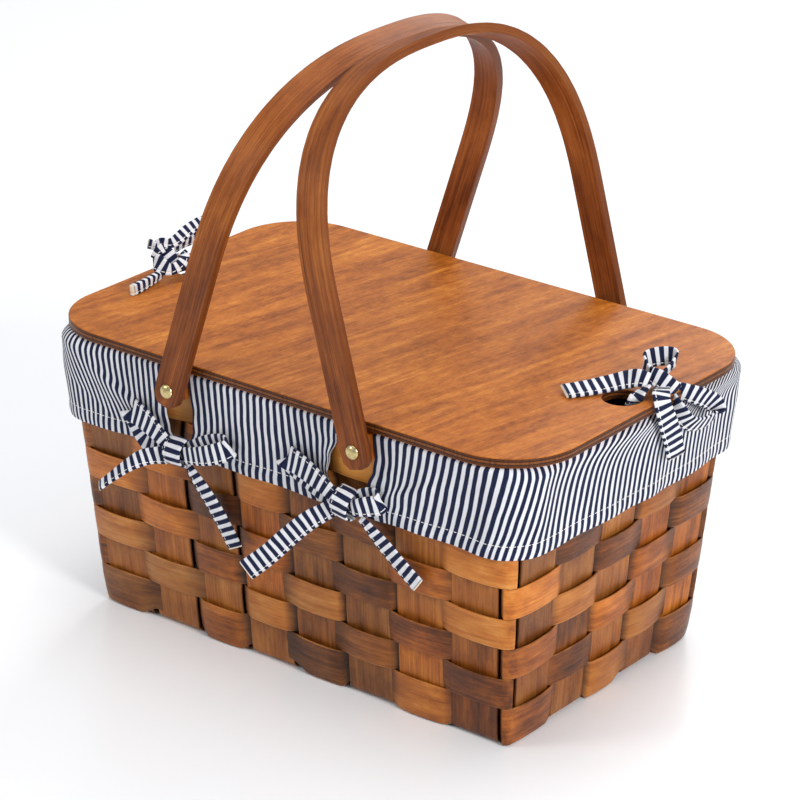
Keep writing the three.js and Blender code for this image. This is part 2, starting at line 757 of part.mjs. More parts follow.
// A bow tied through a finger hole and round the lid's end, in a frame whose X points off that end
function lidBow({ knotY, standing, facing, falling, lying, hanging }) {
  const rise = lidTop + knotHalf.out + fitGap;
  const edge = lidHalfX + edgeClear - lidKnotX;
  const lidFace = lidTop + ribbonThickness - rise;
  const start = new THREE.Vector3(0, 0, 0);
  const standingLoop = ribbonLoop(
    new THREE.Vector3(...standing),
    new THREE.Vector3(...facing),
    ribbonWidth,
  );
  const fallingLoop = ribbonLoop(new THREE.Vector3(...falling), alongX, fallingSpread);
  fallingLoop.translate(edge + fallingSpread / 2 + ribbonThickness / 2, 0, -fallingSpread);
  const [lyingX, lyingY] = lying;
  const lyingTail = ribbon([
    start,
    new THREE.Vector3(lyingX * 0.4, lyingY * 0.4, lidFace + ribbonThickness),
    new THREE.Vector3(lyingX, lyingY, lidFace),
  ], up);
  const hangingTail = ribbon([
    start,
    new THREE.Vector3(edge - fallingSpread, 0, 0),
    new THREE.Vector3(edge + ribbonThickness, 0, -knotHalf.out),
    new THREE.Vector3(edge, 0, -hanging),
  ], new THREE.Vector3(1, 0, 0.5));
  const wrap = knot(knotHalf.up, knotHalf.up, knotHalf.out);
  const body = join(wrap, standingLoop, lyingTail, hangingTail, fallingLoop);
  return body.translate(lidKnotX, knotY, rise);
}

function buildLid() {
  addPiece(basket, 'lid', lid(), lidWood);
  addPiece(basket, 'bow_lid_right', lidBow(rightLidBow), cloth);
  addPiece(basket, 'bow_lid_left', lidBow(leftLidBow), cloth).rotation.z = Math.PI;
}

buildWall();
buildPosts();
buildHandles();
buildLid();
buildLiner();
buildSideBows();

export default basket;
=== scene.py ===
import json
import math
from collections import namedtuple
import bpy
from mathutils import Matrix, Vector, noise

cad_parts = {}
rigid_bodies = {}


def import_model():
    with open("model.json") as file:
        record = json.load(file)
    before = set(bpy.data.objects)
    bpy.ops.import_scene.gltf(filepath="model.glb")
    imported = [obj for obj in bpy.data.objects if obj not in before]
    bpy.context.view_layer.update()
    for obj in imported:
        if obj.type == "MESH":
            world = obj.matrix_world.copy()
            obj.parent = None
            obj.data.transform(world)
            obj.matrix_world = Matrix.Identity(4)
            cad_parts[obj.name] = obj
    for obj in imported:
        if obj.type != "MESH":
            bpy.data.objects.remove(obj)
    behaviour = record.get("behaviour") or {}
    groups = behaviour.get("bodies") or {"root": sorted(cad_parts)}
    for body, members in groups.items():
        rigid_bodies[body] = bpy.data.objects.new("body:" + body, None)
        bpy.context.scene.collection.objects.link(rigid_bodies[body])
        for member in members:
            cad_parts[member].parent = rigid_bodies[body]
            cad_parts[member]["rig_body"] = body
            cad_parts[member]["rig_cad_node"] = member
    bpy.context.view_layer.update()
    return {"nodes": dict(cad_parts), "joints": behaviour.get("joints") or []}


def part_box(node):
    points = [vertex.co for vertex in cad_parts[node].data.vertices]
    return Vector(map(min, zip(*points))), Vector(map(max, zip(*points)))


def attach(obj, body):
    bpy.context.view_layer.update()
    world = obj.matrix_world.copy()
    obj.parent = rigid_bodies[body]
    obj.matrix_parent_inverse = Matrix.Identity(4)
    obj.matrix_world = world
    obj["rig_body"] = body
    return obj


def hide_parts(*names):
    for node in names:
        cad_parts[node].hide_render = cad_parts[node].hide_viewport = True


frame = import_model()
nodes = frame["nodes"]
mm = 0.001
print("frame loaded,", len(nodes), "CAD nodes")


# small helpers

def deselectAll():
    if bpy.context.object and bpy.context.object.mode != "OBJECT":
        bpy.ops.object.mode_set(mode="OBJECT")
    bpy.ops.object.select_all(action="DESELECT")


def pickOnly(obj):
    deselectAll()
    obj.select_set(True)
    bpy.context.view_layer.objects.active = obj


def placeApplied(obj):
    pickOnly(obj)
    bpy.ops.object.transform_apply(location=True, rotation=True, scale=True)


def selectEdges(obj, test):
    # only the edges whose two end vertices pass the test
    mesh = obj.data
    for part in (mesh.vertices, mesh.edges, mesh.polygons):
        part.foreach_set("select", [False] * len(part))
    for edge in mesh.edges:
        ends = [mesh.vertices[k] for k in edge.vertices]
        if test(*ends):
            edge.select = True
            for v in ends:
                v.select = True


def subdivideAlong(obj, axis, cuts):
    pickOnly(obj)

    def isAlong(a, b):
        step = b.co - a.co
        return abs(step[axis]) > 0.9 * step.length

    selectEdges(obj, isAlong)
    bpy.ops.object.mode_set(mode="EDIT")
    bpy.ops.mesh.select_mode(type="EDGE")
    bpy.ops.mesh.subdivide(number_cuts=cuts)
    bpy.ops.object.mode_set(mode="OBJECT")


def applyModifier(obj, kind, **settings):
    pickOnly(obj)
    modifier = obj.modifiers.new(kind.title(), kind)
    for key, value in settings.items():
        setattr(modifier, key, value)
    bpy.ops.object.modifier_apply(modifier=modifier.name)


def editAll(obj, operator, **settings):
    # runs an edit mode operator on the whole mesh
    pickOnly(obj)
    bpy.ops.object.mode_set(mode="EDIT")
    bpy.ops.mesh.select_all(action="SELECT")
    operator(**settings)
    bpy.ops.object.mode_set(mode="OBJECT")


def smoothShade(obj, degrees=40):
    pickOnly(obj)
    bpy.ops.object.shade_smooth_by_angle(angle=math.radians(degrees))


def easeEdges(obj, width, segments=2, degrees=40):
    applyModifier(obj, "BEVEL", width=width, segments=segments, limit_method="ANGLE",
                  angle_limit=math.radians(degrees), harden_normals=False)


def setFinish(obj, material):
    obj.data.materials.clear()
    obj.data.materials.append(material)


def fitIn(obj, body, slotName, material, *replaced):
    setFinish(obj, material)
    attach(obj, body)
    if replaced:
        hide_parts(*replaced)


def smoothStep(t):
    t = max(0.0, min(1.0, t))
    return t * t * (3 - 2 * t)


def fadeIn(x, start, over):
    # 0 up to start, 1 from over past it
    return smoothStep((x - start) / over)


def mix(a, b, t):
    return a + (b - a) * t


def chance(*seed):
    # a steady pseudo random number from 0 to 1 for a place on the object
    x, y, z = (list(seed) + [0.0, 0.0, 0.0])[:3]
    value = math.sin(x * 12.9898 + y * 78.233 + z * 37.719) * 43758.5453
    return value - math.floor(value)


def wander(x, y=0.0, z=0.0):
    return noise.noise(Vector((x + 0.37, y + 0.71, z + 0.13)))


def waysAlong(points):
    # how far along the path each point is
    ways = [0.0]
    for a, b in zip(points, points[1:]):
        ways.append(ways[-1] + (b - a).length)
    return ways


def stepsAlong(ways, count):
    # for each even step, the point before it and the share of the way to the next
    steps = []
    k = 0
    for n in range(count + 1):
        want = ways[-1] * n / count
        while k < len(ways) - 2 and ways[k + 1] < want:
            k += 1
        steps.append((k, (want - ways[k]) / max(1e-9, ways[k + 1] - ways[k])))
    return steps


def tangentsOf(points):
    return [(b - a).normalized() for a, b in zip(points[:1] + points, points[1:] + points[-1:])]


def evenly(points, step):
    # the same path at even steps, with its tangents and its length
    points = [Vector(p) for p in points]
    ways = waysAlong(points)
    count = max(8, round(ways[-1] / step))
    out = [points[k].lerp(points[k + 1], f) for k, f in stepsAlong(ways, count)]
    return out, tangentsOf(out), ways[-1]


# camera at the photograph's angle

view = {
    "azimuth": 37.51, "elevation": 22.96, "roll": 0.80,
    "distance": 2.349, "target": (-0.0095, 0.0150, 0.1517),
    "lens": 158.4, "sensor": 36.0, "clipEnd": 50.0,
}


def addCamera():
    az = math.radians(view["azimuth"])
    el = math.radians(view["elevation"])
    target = Vector(view["target"])
    back = Vector((math.sin(az) * math.cos(el), -math.cos(az) * math.cos(el), math.sin(el)))
    right = Vector((0, 0, 1)).cross(back).normalized()
    up = back.cross(right)
    turn = math.radians(view["roll"])
    right, up = (right * math.cos(turn) + up * math.sin(turn),
                 up * math.cos(turn) - right * math.sin(turn))
    place = target + back * view["distance"]
    deselectAll()
    bpy.ops.object.camera_add(location=place)
    camera = bpy.context.object
    camera.matrix_world = Matrix.Translation(place) @ Matrix((right, up, back)).transposed().to_4x4()
    camera.data.lens = view["lens"]
    camera.data.sensor_width = view["sensor"]
    camera.data.clip_end = view["clipEnd"]
    camera.data.dof.use_dof = False
    bpy.context.scene.camera = camera


addCamera()
print("camera set")


# floor and soft light

studio = {
    "floorSize": 14.0, "floorColour": (0.90, 0.915, 0.94), "floorRoughness": 0.28,
    "worldColour": (0.97, 0.985, 1.0), "worldStrength": 0.53,
    "lights": (
        # name, place, aim, size, watts, colour
        ("overheadSoftbox", (-0.15, 0.05, 2.4), (0, 0, 0.15), 1.5, 15.5, (1.0, 0.99, 0.97)),
        ("leftSoftbox", (-1.5, -2.1, 1.7), (0, 0, 0.14), 0.9, 20, (1.0, 0.98, 0.96)),
        ("rightSoftbox", (2.6, -0.72, 1.35), (0.1, 0, 0.12), 0.75, 58, (1.0, 0.98, 0.96)),
        ("backGlow", (-0.4, 2.7, 1.9), (0, 0, 0.2), 2.0, 50, (1.0, 1.0, 1.0)),
    ),
}


def addStudio():
    deselectAll()
    bpy.ops.mesh.primitive_plane_add(size=studio["floorSize"])
    floor = bpy.context.object
    floor.name = "studio_floor"
    paper = bpy.data.materials.new("paleFloor")
    paper.use_nodes = True
    shader = paper.node_tree.nodes["Principled BSDF"]
    shader.inputs["Base Color"].default_value = (*studio["floorColour"], 1)
    shader.inputs["Roughness"].default_value = studio["floorRoughness"]
    setFinish(floor, paper)
    world = bpy.data.worlds.new("softWhite")
    world.use_nodes = True
    background = world.node_tree.nodes["Background"]
    background.inputs["Color"].default_value = (*studio["worldColour"], 1)
    background.inputs["Strength"].default_value = studio["worldStrength"]
    bpy.context.scene.world = world
    bpy.context.scene.view_settings.view_transform = "Standard"
    for name, place, aim, size, watts, colour in studio["lights"]:
        deselectAll()
        bpy.ops.object.light_add(type="AREA", location=place)
        lamp = bpy.context.object
        lamp.name = name
        lamp.data.shape = "SQUARE"
        lamp.data.size = size
        lamp.data.energy = watts
        lamp.data.color = colour
        lamp.rotation_euler = (Vector(aim) - Vector(place)).to_track_quat("-Z", "Y").to_euler()


addStudio()
print("floor and lights set")


# finishes

def shade(red, green, blue):
    # an sRGB colour as the linear one that a shader takes
    def linear(c):
        c = c / 255
        return c / 12.92 if c <= 0.04045 else ((c + 0.055) / 1.055) ** 2.4
    return (linear(red), linear(green), linear(blue), 1.0)


class Nodes:
    # a short way to wire one material, with colours as sRGB from 0 to 255
    def __init__(self, name):
        self.material = bpy.data.materials.new(name)
        self.material.use_nodes = True
        self.tree = self.material.node_tree
        self.shader = self.tree.nodes["Principled BSDF"]

    def add(self, kind, **settings):
        node = self.tree.nodes.new(kind)
        for key, value in settings.items():
            setattr(node, key, value)
        return node

    def put(self, socket, value):
        if isinstance(value, bpy.types.NodeSocket):
            self.tree.links.new(value, socket)
        elif socket.type == "RGBA":
            socket.default_value = shade(*value)
        else:
            socket.default_value = value

    def math(self, operation, a, b=0.0, c=0.0):
        node = self.add("ShaderNodeMath", operation=operation)
        for socket, value in zip(node.inputs, (a, b, c)):
            self.put(socket, value)
        return node.outputs[0]

    def uv(self):
        return self.add("ShaderNodeUVMap", uv_map="UVMap").outputs[0]

    def place(self):
        return self.add("ShaderNodeTexCoord").outputs["Object"]

    def stretch(self, vector, scale=(1, 1, 1), shift=(0, 0, 0), turn=(0, 0, 0)):
        node = self.add("ShaderNodeMapping")
        self.put(node.inputs["Vector"], vector)
        node.inputs["Scale"].default_value = scale
        node.inputs["Location"].default_value = shift
        node.inputs["Rotation"].default_value = turn
        return node.outputs[0]

    def grain(self, vector, scale, detail, rough, warp=0.0, shift=(0, 0, 0)):
        node = self.add("ShaderNodeTexNoise")
        self.put(node.inputs["Vector"], self.stretch(vector, scale, shift))
        node.inputs["Scale"].default_value = 1.0
        node.inputs["Detail"].default_value = detail
        node.inputs["Roughness"].default_value = rough
        node.inputs["Distortion"].default_value = warp
        return node.outputs["Fac"]

    def grains(self, vector, kinds):
        return {name: self.grain(vector, *kind) for name, kind in kinds.items()}

    def weigh(self, grains, weights, start=0.0):
        # start and each grain times its weight, added up
        total = start
        for name, weight in weights.items():
            total = self.math("MULTIPLY_ADD", grains[name], weight, total)
        return total

    def ramp(self, value, stops, mode="LINEAR"):
        stops = list(stops)
        node = self.add("ShaderNodeValToRGB")
        node.color_ramp.interpolation = mode
        elements = node.color_ramp.elements
        while len(elements) < len(stops):
            elements.new(0.5)
        for element, (position, colour) in zip(elements, stops):
            element.position = position
            element.color = shade(*colour)
        self.put(node.inputs["Fac"], value)
        return node.outputs["Color"]

    def spread(self, value, low, high, outLow=0.0, outHigh=1.0):
        node = self.add("ShaderNodeMapRange", interpolation_type="SMOOTHSTEP")
        for key, v in zip(("Value", "From Min", "From Max", "To Min", "To Max"),
                          (value, low, high, outLow, outHigh)):
            self.put(node.inputs[key], v)
        return node.outputs["Result"]

    def blend(self, factor, a, b):
        node = self.add("ShaderNodeMix", data_type="RGBA")
        self.put(node.inputs["Factor"], factor)
        sockets = [s for s in node.inputs if s.type == "RGBA"]
        self.put(sockets[0], a)
        self.put(sockets[1], b)
        return [s for s in node.outputs if s.type == "RGBA"][0]

    def split(self, vector):
        node = self.add("ShaderNodeSeparateXYZ")
        self.put(node.inputs[0], vector)
        return node.outputs

    def note(self, name):
        return self.add("ShaderNodeAttribute", attribute_name=name).outputs["Fac"]

    def bump(self, height, strength, distance, below=None):
        node = self.add("ShaderNodeBump")
        self.put(node.inputs["Height"], height)
        node.inputs["Strength"].default_value = strength
        node.inputs["Distance"].default_value = distance
        if below:
            self.put(node.inputs["Normal"], below)
        return node.outputs["Normal"]

    def bumps(self, grains, layers):
        normal = None
        for name, strength, distance in layers:
            normal = self.bump(grains[name], strength, distance, normal)
        return normal

    def finish(self, colour, roughness, normal, **constants):
        self.put(self.shader.inputs["Base Color"], colour)
        self.put(self.shader.inputs["Roughness"], roughness)
        self.put(self.shader.inputs["Normal"], normal)
        for name, value in constants.items():
            self.shader.inputs[name.replace("_", " ")].default_value = value
        return self.material


# In each look a grain is scale, detail, roughness, warp and shift, a tone is a place on the ramp and a
# colour, a range is from, to and what they become, and a bump is a grain, its strength and its depth.

splintLook = {
    "grains": {
        "fine": ((34, 1900, 1), 4, 0.7), "fibre": ((110, 3300, 1), 3, 0.65),
        "band": ((7, 420, 1), 3, 0.55, 0.5), "blotch": ((26, 75, 1), 4, 0.62),
        "silk": ((420, 900, 1), 2, 0.5),
    },
    "weights": {"band": 0.24, "fine": 0.24, "fibre": 0.14, "blotch": 0.42, "tone": 0.13},
    # from shadow to light, for warm and for dull strips
    "stops": (0.31, 0.445, 0.55, 0.66, 0.80),
    "warm": ((40, 16, 3), (102, 49, 10), (154, 81, 21), (194, 112, 35), (218, 148, 68)),
    "dull": ((40, 19, 6), (94, 52, 18), (128, 77, 31), (156, 101, 48), (184, 133, 77)),
    "dullRange": (0.3, 0.6, 0.7, 1.0),
    "pore": (28, 13, 4), "poreRange": (0.62, 0.76, 0.0, 0.45),
    # the near-black edge colour is painted shade, put into the recesses and on the stakes' side edges
    "paleEdge": (196, 130, 68), "paintedShade": (20, 9, 3), "edgeWearAndShadeFrom": (0.35, 0.65),
    "gloss": {"fine": 0.5, "silk": 0.5}, "roughRange": (0.3, 0.7, 0.28, 0.54),
    "bumps": (("fine", 0.35, 0.0006), ("silk", 0.12, 0.0006), ("band", 0.22, 0.0012)),
    "specular": 0.31,
}


def splintWood(name, toneShift, edgeColour, edgeWearAndShadeRange):
    # stained splint: fibres along u, blotches of stain, a tone for each strip, edges worn paler or darkened
    # with painted shade, and painted shade in the recesses
    look = splintLook
    n = Nodes(name)
    g = n.grains(n.uv(), look["grains"])
    g["tone"] = n.note("tone")
    value = n.weigh(g, look["weights"], toneShift)
    warm = n.ramp(value, zip(look["stops"], look["warm"]))
    dull = n.ramp(value, zip(look["stops"], look["dull"]))
    dullness = n.math("MULTIPLY", n.note("dull"), n.spread(g["blotch"], *look["dullRange"]))
    colour = n.blend(dullness, warm, dull)
    colour = n.blend(n.spread(g["fibre"], *look["poreRange"]), colour, look["pore"])
    # edges: on weavers worn paler, on stakes darkened with painted shade, partly dark stain
    edgeWearAndShade = n.math("MULTIPLY", n.note("edge"), n.spread(g["blotch"], *look["edgeWearAndShadeFrom"], *edgeWearAndShadeRange))
    colour = n.blend(edgeWearAndShade, colour, edgeColour)
    # painted shade: recesses where a weaver goes behind a stake or tucks under one are darkened to near-black
    colour = n.blend(n.note("recessShade"), colour, look["paintedShade"])
    rough = n.spread(n.weigh(g, look["gloss"]), *look["roughRange"])
    return n.finish(colour, rough, n.bumps(g, look["bumps"]), Specular_IOR_Level=look["specular"])


handleLook = {
    "grains": {
        "fine": ((18, 1700, 1), 4, 0.68), "band": ((3.2, 420, 1), 3, 0.5, 0.6),
        "stain": ((20, 60, 1), 4, 0.62), "pore": ((80, 2600, 1), 2, 0.55),
    },
    # the tone note carries painted light that makes the arch lighter than the legs
    "weights": {"band": 0.28, "fine": 0.38, "stain": 0.36, "tone": 0.055},
    "tones": ((0.34, (58, 27, 11)), (0.45, (100, 50, 20)), (0.54, (130, 69, 29)),
              (0.62, (154, 88, 39)), (0.70, (176, 107, 53))),
    "pore": (58, 27, 11), "poreRange": (0.64, 0.72, 0.0, 0.6),
    # the edge colour is painted shade that darkens the handle's narrow sides
    "edge": (84, 42, 17), "edgeShadeRange": (0.3, 0.6, 0.2, 0.5),
    "roughRange": (0.3, 0.7, 0.34, 0.52),
    "bumps": (("fine", 0.28, 0.0006), ("band", 0.2, 0.0012)),
    "specular": 0.16,
}


def handleWood(name):
    look = handleLook
    n = Nodes(name)
    g = n.grains(n.uv(), look["grains"])
    g["tone"] = n.note("tone")
    colour = n.ramp(n.weigh(g, look["weights"]), look["tones"])
    colour = n.blend(n.spread(g["pore"], *look["poreRange"]), colour, look["pore"])
    # painted shade on the narrow sides and eased edges, broken up by the stain grain
    edgeWearAndShade = n.math("MULTIPLY", n.note("edge"), n.spread(g["stain"], *look["edgeShadeRange"]))
    colour = n.blend(edgeWearAndShade, colour, look["edge"])
    rough = n.spread(g["fine"], *look["roughRange"])
    return n.finish(colour, rough, n.bumps(g, look["bumps"]), Specular_IOR_Level=look["specular"])


lidLook = {
    # degrees that the grain leans from straight across the board
    "lean": 9.0,
    "grains": {
        "fine": ((1200, 26, 1), 4, 0.65), "band": ((150, 5.5, 1), 4, 0.55, 0.5, (3.1, 0, 0)),
        "figure": ((48, 11, 1), 3, 0.6, 0.8, (7.7, 2.0, 0)),
        "fleck": ((420, 18, 1), 3, 0.6, 0.0, (1.7, 5.0, 0)),
        "mottle": ((150, 90, 1), 5, 0.68, 0.0, (0.4, 9.0, 0)),
        "speckle": ((1000, 220, 1), 2, 0.6, 0.0, (2.9, 4.0, 0)),
    },
    "weights": {"band": 0.24, "fine": 0.30, "figure": 0.26, "mottle": 0.24, "speckle": 0.17},
    "toneShift": -0.085,
    "tones": ((0.37, (106, 50, 10)), (0.45, (143, 76, 19)), (0.515, (169, 94, 28)),
              (0.58, (187, 111, 37)), (0.67, (212, 141, 58))),
    "fleck": (106, 50, 10), "fleckRange": (0.62, 0.76, 0.0, 0.3),
    "edgeGrains": {"wave": ((60, 60, 300), 2, 0.5), "end": ((700, 700, 160), 3, 0.6)},
    "waveHeight": 0.05,
    "plies": ((0.0, (86, 45, 17)), (0.30, (42, 20, 6)), (0.40, (124, 70, 31)), (0.62, (42, 20, 6)),
              (0.72, (86, 45, 17))),
    "endGrain": (42, 20, 6), "endRange": (0.42, 0.7, 0.0, 0.6),
    # how level a face is where the veneer begins and where it is whole
    "faceRange": (0.35, 0.6),
    "roughRange": (0.3, 0.7, 0.34, 0.5),
    "bumps": (("fine", 0.16, 0.0005), ("fleck", 0.12, 0.0008)),
    "specular": 0.20,
}


def lidWood(name, low, high):
    # face veneer with its grain across the board, plies on the edge
    look = lidLook
    n = Nodes(name)
    place = n.place()
    g = n.grains(n.stretch(place, turn=(0, 0, math.radians(look["lean"]))), look["grains"])
    veneer = n.ramp(n.weigh(g, look["weights"], look["toneShift"]), look["tones"])
    veneer = n.blend(n.spread(g["fleck"], *look["fleckRange"]), veneer, look["fleck"])
    e = n.grains(place, look["edgeGrains"])
    height = n.math("DIVIDE", n.math("SUBTRACT", n.split(place)["Z"], low), high - low)
    height = n.math("MULTIPLY_ADD", n.math("SUBTRACT", e["wave"], 0.5), look["waveHeight"], height)
    ply = n.ramp(height, look["plies"], "CONSTANT")
    ply = n.blend(n.spread(e["end"], *look["endRange"]), ply, look["endGrain"])
    level = n.split(n.add("ShaderNodeNewGeometry").outputs["True Normal"])["Z"]
    onFace = n.spread(n.math("ABSOLUTE", level), *look["faceRange"])
    rough = n.spread(g["fine"], *look["roughRange"])
    return n.finish(n.blend(onFace, ply, veneer), rough, n.bumps(g, look["bumps"]),
                    Specular_IOR_Level=look["specular"])


rimLook = {
    "fine": (4, 0.65), "stain": ((45, 45, 45), 3, 0.6), "weights": {"stain": 0.4, "fine": 0.6},
    "stops": (0.26, 0.40, 0.52, 0.66, 0.84), "roughRange": (0.3, 0.7, 0.36, 0.55),
    "bumps": (("fine", 0.25, 0.0006),), "specular": 0.34,
}


def hiddenWood(name, scale):
    # rim bands and posts, grain along the low numbers of scale
    look = rimLook
    n = Nodes(name)
    g = n.grains(n.place(), {"fine": (scale, *look["fine"]), "stain": look["stain"]})
    colour = n.ramp(n.weigh(g, look["weights"]), zip(look["stops"], splintLook["warm"]))
    rough = n.spread(g["fine"], *look["roughRange"])
    return n.finish(colour, rough, n.bumps(g, look["bumps"]), Specular_IOR_Level=look["specular"])


brassLook = {
    "grains": {"tarnish": ((260, 260, 260), 4, 0.6), "scratch": ((2400, 300, 1500), 3, 0.6)},
    "tones": ((0.32, (176, 154, 102)), (0.52, (203, 185, 134)), (0.7, (222, 207, 164))),
    "roughRange": (0.3, 0.75, 0.16, 0.36), "bumps": (("scratch", 0.08, 0.0003),),
}


def brassMetal(name):
    look = brassLook
    n = Nodes(name)
    g = n.grains(n.place(), look["grains"])
    rough = n.spread(g["scratch"], *look["roughRange"])
    return n.finish(n.ramp(g["tarnish"], look["tones"]), rough, n.bumps(g, look["bumps"]), Metallic=1.0)


tickingLook = {
    "period": 0.0061, "navyShare": 0.54, "stripeSoft": 0.03, "wobble": 0.0007,
    "grains": {
        "wobble": ((240, 90, 1), 2, 0.5), "slub": ((2600, 120, 1), 3, 0.6), "fade": ((55, 40, 1), 3, 0.6),
    },
    "navy": (22, 28, 54), "navyLight": (44, 52, 86), "slubRange": (0.42, 0.75, 0.0, 0.8),
    "white": (220, 221, 226), "whiteShade": (202, 204, 210), "fadeRange": (0.35, 0.7, 0.0, 0.6),
    "thread": (246, 244, 240), "cream": (240, 232, 214),
    # a wave texture of scale 0.314 has bands one unit apart
    "yarn": 0.00042, "bandScale": 0.314,
    "bumps": (("yarn", 0.25, 0.00025), ("slub", 0.15, 0.0003)),
    "stitchPitch": 0.0030, "stitchDash": 0.66, "stitchRange": (0.00016, 0.00034, 0.85, 0.0),
    "grooveRange": (0.0, 0.0013, -1.0, 0.0), "groove": (0.5, 0.0006),
    "rough": 0.9, "sheen": 0.04, "sheenRough": 0.5, "specular": 0.12,
}


def ticking(name, stitchLine=None):
    # stripes follow u, stitches run along u at the given v
    look = tickingLook
    n = Nodes(name)
    uv = n.uv()
    u, v = n.split(uv)[:2]
    g = n.grains(uv, look["grains"])
    wobble = n.math("MULTIPLY", n.math("SUBTRACT", g["wobble"], 0.5), look["wobble"])
    turn = n.math("FRACT", n.math("DIVIDE", n.math("ADD", u, wobble), look["period"]))
    half = look["navyShare"] / 2
    stripe = n.spread(n.math("ABSOLUTE", n.math("SUBTRACT", turn, 0.5)),
                      half - look["stripeSoft"], half + look["stripeSoft"], 1.0, 0.0)
    threads = []
    for direction in "XY":
        thread = n.add("ShaderNodeTexWave", wave_type="BANDS", bands_direction=direction)
        n.put(thread.inputs["Vector"], uv)
        thread.inputs["Scale"].default_value = look["bandScale"] / look["yarn"]
        threads.append(thread.outputs["Fac"])
    g["yarn"] = n.math("MULTIPLY", *threads)
    navy = n.blend(n.spread(g["slub"], *look["slubRange"]), look["navy"], look["navyLight"])
    white = n.blend(n.spread(g["fade"], *look["fadeRange"]), look["white"], look["whiteShade"])
    colour = n.blend(stripe, white, navy)
    normal = n.bumps(g, look["bumps"])
    if stitchLine:
        near = n.math("ABSOLUTE", n.math("SUBTRACT", v, stitchLine))
        dash = n.math("FRACT", n.math("DIVIDE", u, look["stitchPitch"]))
        stitch = n.math("MULTIPLY", n.spread(near, *look["stitchRange"]),
                        n.math("LESS_THAN", dash, look["stitchDash"]))
        colour = n.blend(stitch, colour, look["thread"])
        normal = n.bump(n.spread(near, *look["grooveRange"]), *look["groove"], normal)
    colour = n.blend(n.note("raw"), colour, look["cream"])
    return n.finish(colour, look["rough"], normal, Sheen_Weight=look["sheen"],
                    Sheen_Roughness=look["sheenRough"], Specular_IOR_Level=look["specular"])


weaverFinish = splintWood("weaverSplint", 0.018, splintLook["paleEdge"], (0.05, 0.55))
# the stakes' side edges get painted shade, partly dark stain, so that the slits beside them look deep
stakeFinish = splintWood("stakeSplint", 0.025, splintLook["paintedShade"], (0.25, 0.55))
rimFinish = hiddenWood("rimWood", (18, 18, 1400))
postFinish = hiddenWood("postWood", (1300, 700, 22))
handleFinish = handleWood("handleWood")
lidLow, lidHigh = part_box("lid")
lidFinish = lidWood("lidPlywood", lidLow.z, lidHigh.z)
brassFinish = brassMetal("rivetBrass")
skirtFinish = ticking("tickingSkirt", 0.0098)
bagFinish = ticking("tickingBag")
ribbonFinish = ticking("tickingRibbon", 0.0021)
print("finishes made")


# the basket wall that everything lies on, sizes in metres

wall = {
    "baseHalfX": 0.16925, "baseHalfY": 0.10275, "flareX": 0.07, "flareY": 0.095,
    "baseCorner": 0.008, "cornerFlare": 0.06,
    "weaveCorner": 0.0040, "weaveFlare": 0.02, "rounding": (0.135, 0.045),
    "stakeCounts": (8, 5, 8, 5), "stakeGap": 0.0056, "midHeight": 0.1,
    "firstRow": 0.0068, "rowPitch": 0.022, "rimTop": 0.2006,
}


def outHalf(side, z):
    if side % 2 == 0:
        return wall["baseHalfY"] + wall["flareY"] * z
    return wall["baseHalfX"] + wall["flareX"] * z


def cornerRadius(z):
    return wall["baseCorner"] + wall["cornerFlare"] * z


def weaveRadius(z):
    # below the skirt the woven corners are sharper than the rim's
    sharp = wall["weaveCorner"] + wall["weaveFlare"] * z
    return mix(sharp, cornerRadius(z), fadeIn(z, *wall["rounding"]))


def flatHalf(side, z, radius=cornerRadius):
    return outHalf(side + 1, z) - radius(z)


def midHalf(side):
    return flatHalf(side, wall["midHeight"], weaveRadius)


def turned(point, side):
    x, y, z = point
    if side == 0:
        return Vector((x, y, z))
    if side == 1:
        return Vector((-y, x, z))
    if side == 2:
        return Vector((-x, -y, z))
    return Vector((y, -x, z))


def facePoint(side, along, z, out):
    return turned((along, -outHalf(side, z) - out, z), side)


def cornerPoint(side, t, z, out, radius=cornerRadius):
    # the rounded corner at the right-hand end of a side
    angle = t * math.pi / 2
    reach = radius(z) + out
    return turned((flatHalf(side, z, radius) + math.sin(angle) * reach,
                   -(outHalf(side, z) - radius(z)) - math.cos(angle) * reach, z), side)


def wallPoint(side, kind, share, z, out, radius=cornerRadius):
    # a place on a side, at a share of its flat half or of the corner after it
    if kind == "flat":
        return facePoint(side, share * flatHalf(side, max(0.0, z), radius), z, out)
    return cornerPoint(side, share, z, out, radius)


def stakeCells(side):
    # middle and half width of each stake as shares of the side's flat half
    count = wall["stakeCounts"][side]
    pitch = 2 / count
    half = pitch / 2 - wall["stakeGap"] / 2 / midHalf(side)
    return [(-1 + pitch * (k + 0.5), half) for k in range(count)]


def cellNumber(side, index):
    return sum(wall["stakeCounts"][:side]) + index


def weaverIsOver(side, index, row):
    return (cellNumber(side, index) + row) % 2 == 0


def straightStrip(name, width, thickness, cuts, crossCuts):
    # unit length along x, to be bent afterwards
    deselectAll()
    bpy.ops.mesh.primitive_cube_add(size=1)
    strip = bpy.context.object
    strip.name = name
    strip.scale = (1, width, thickness)
    strip.location = (0.5, 0, 0)
    placeApplied(strip)
    subdivideAlong(strip, 0, cuts)
    subdivideAlong(strip, 1, crossCuts)
    return strip


# the recess note is painted shade, for where a weaver lies behind a stake or tucks under one
stripNotes = ("tone", "dull", "recessShade", "edge")
# the share across from which a strip counts as edge, and how its thickness moves the grain
stripEdge = 0.97
liftGrain = 0.7


def edgeward(share):
    # moves a strip's columns towards its edges
    return math.copysign(1 - (1 - abs(share)) ** 3, share)


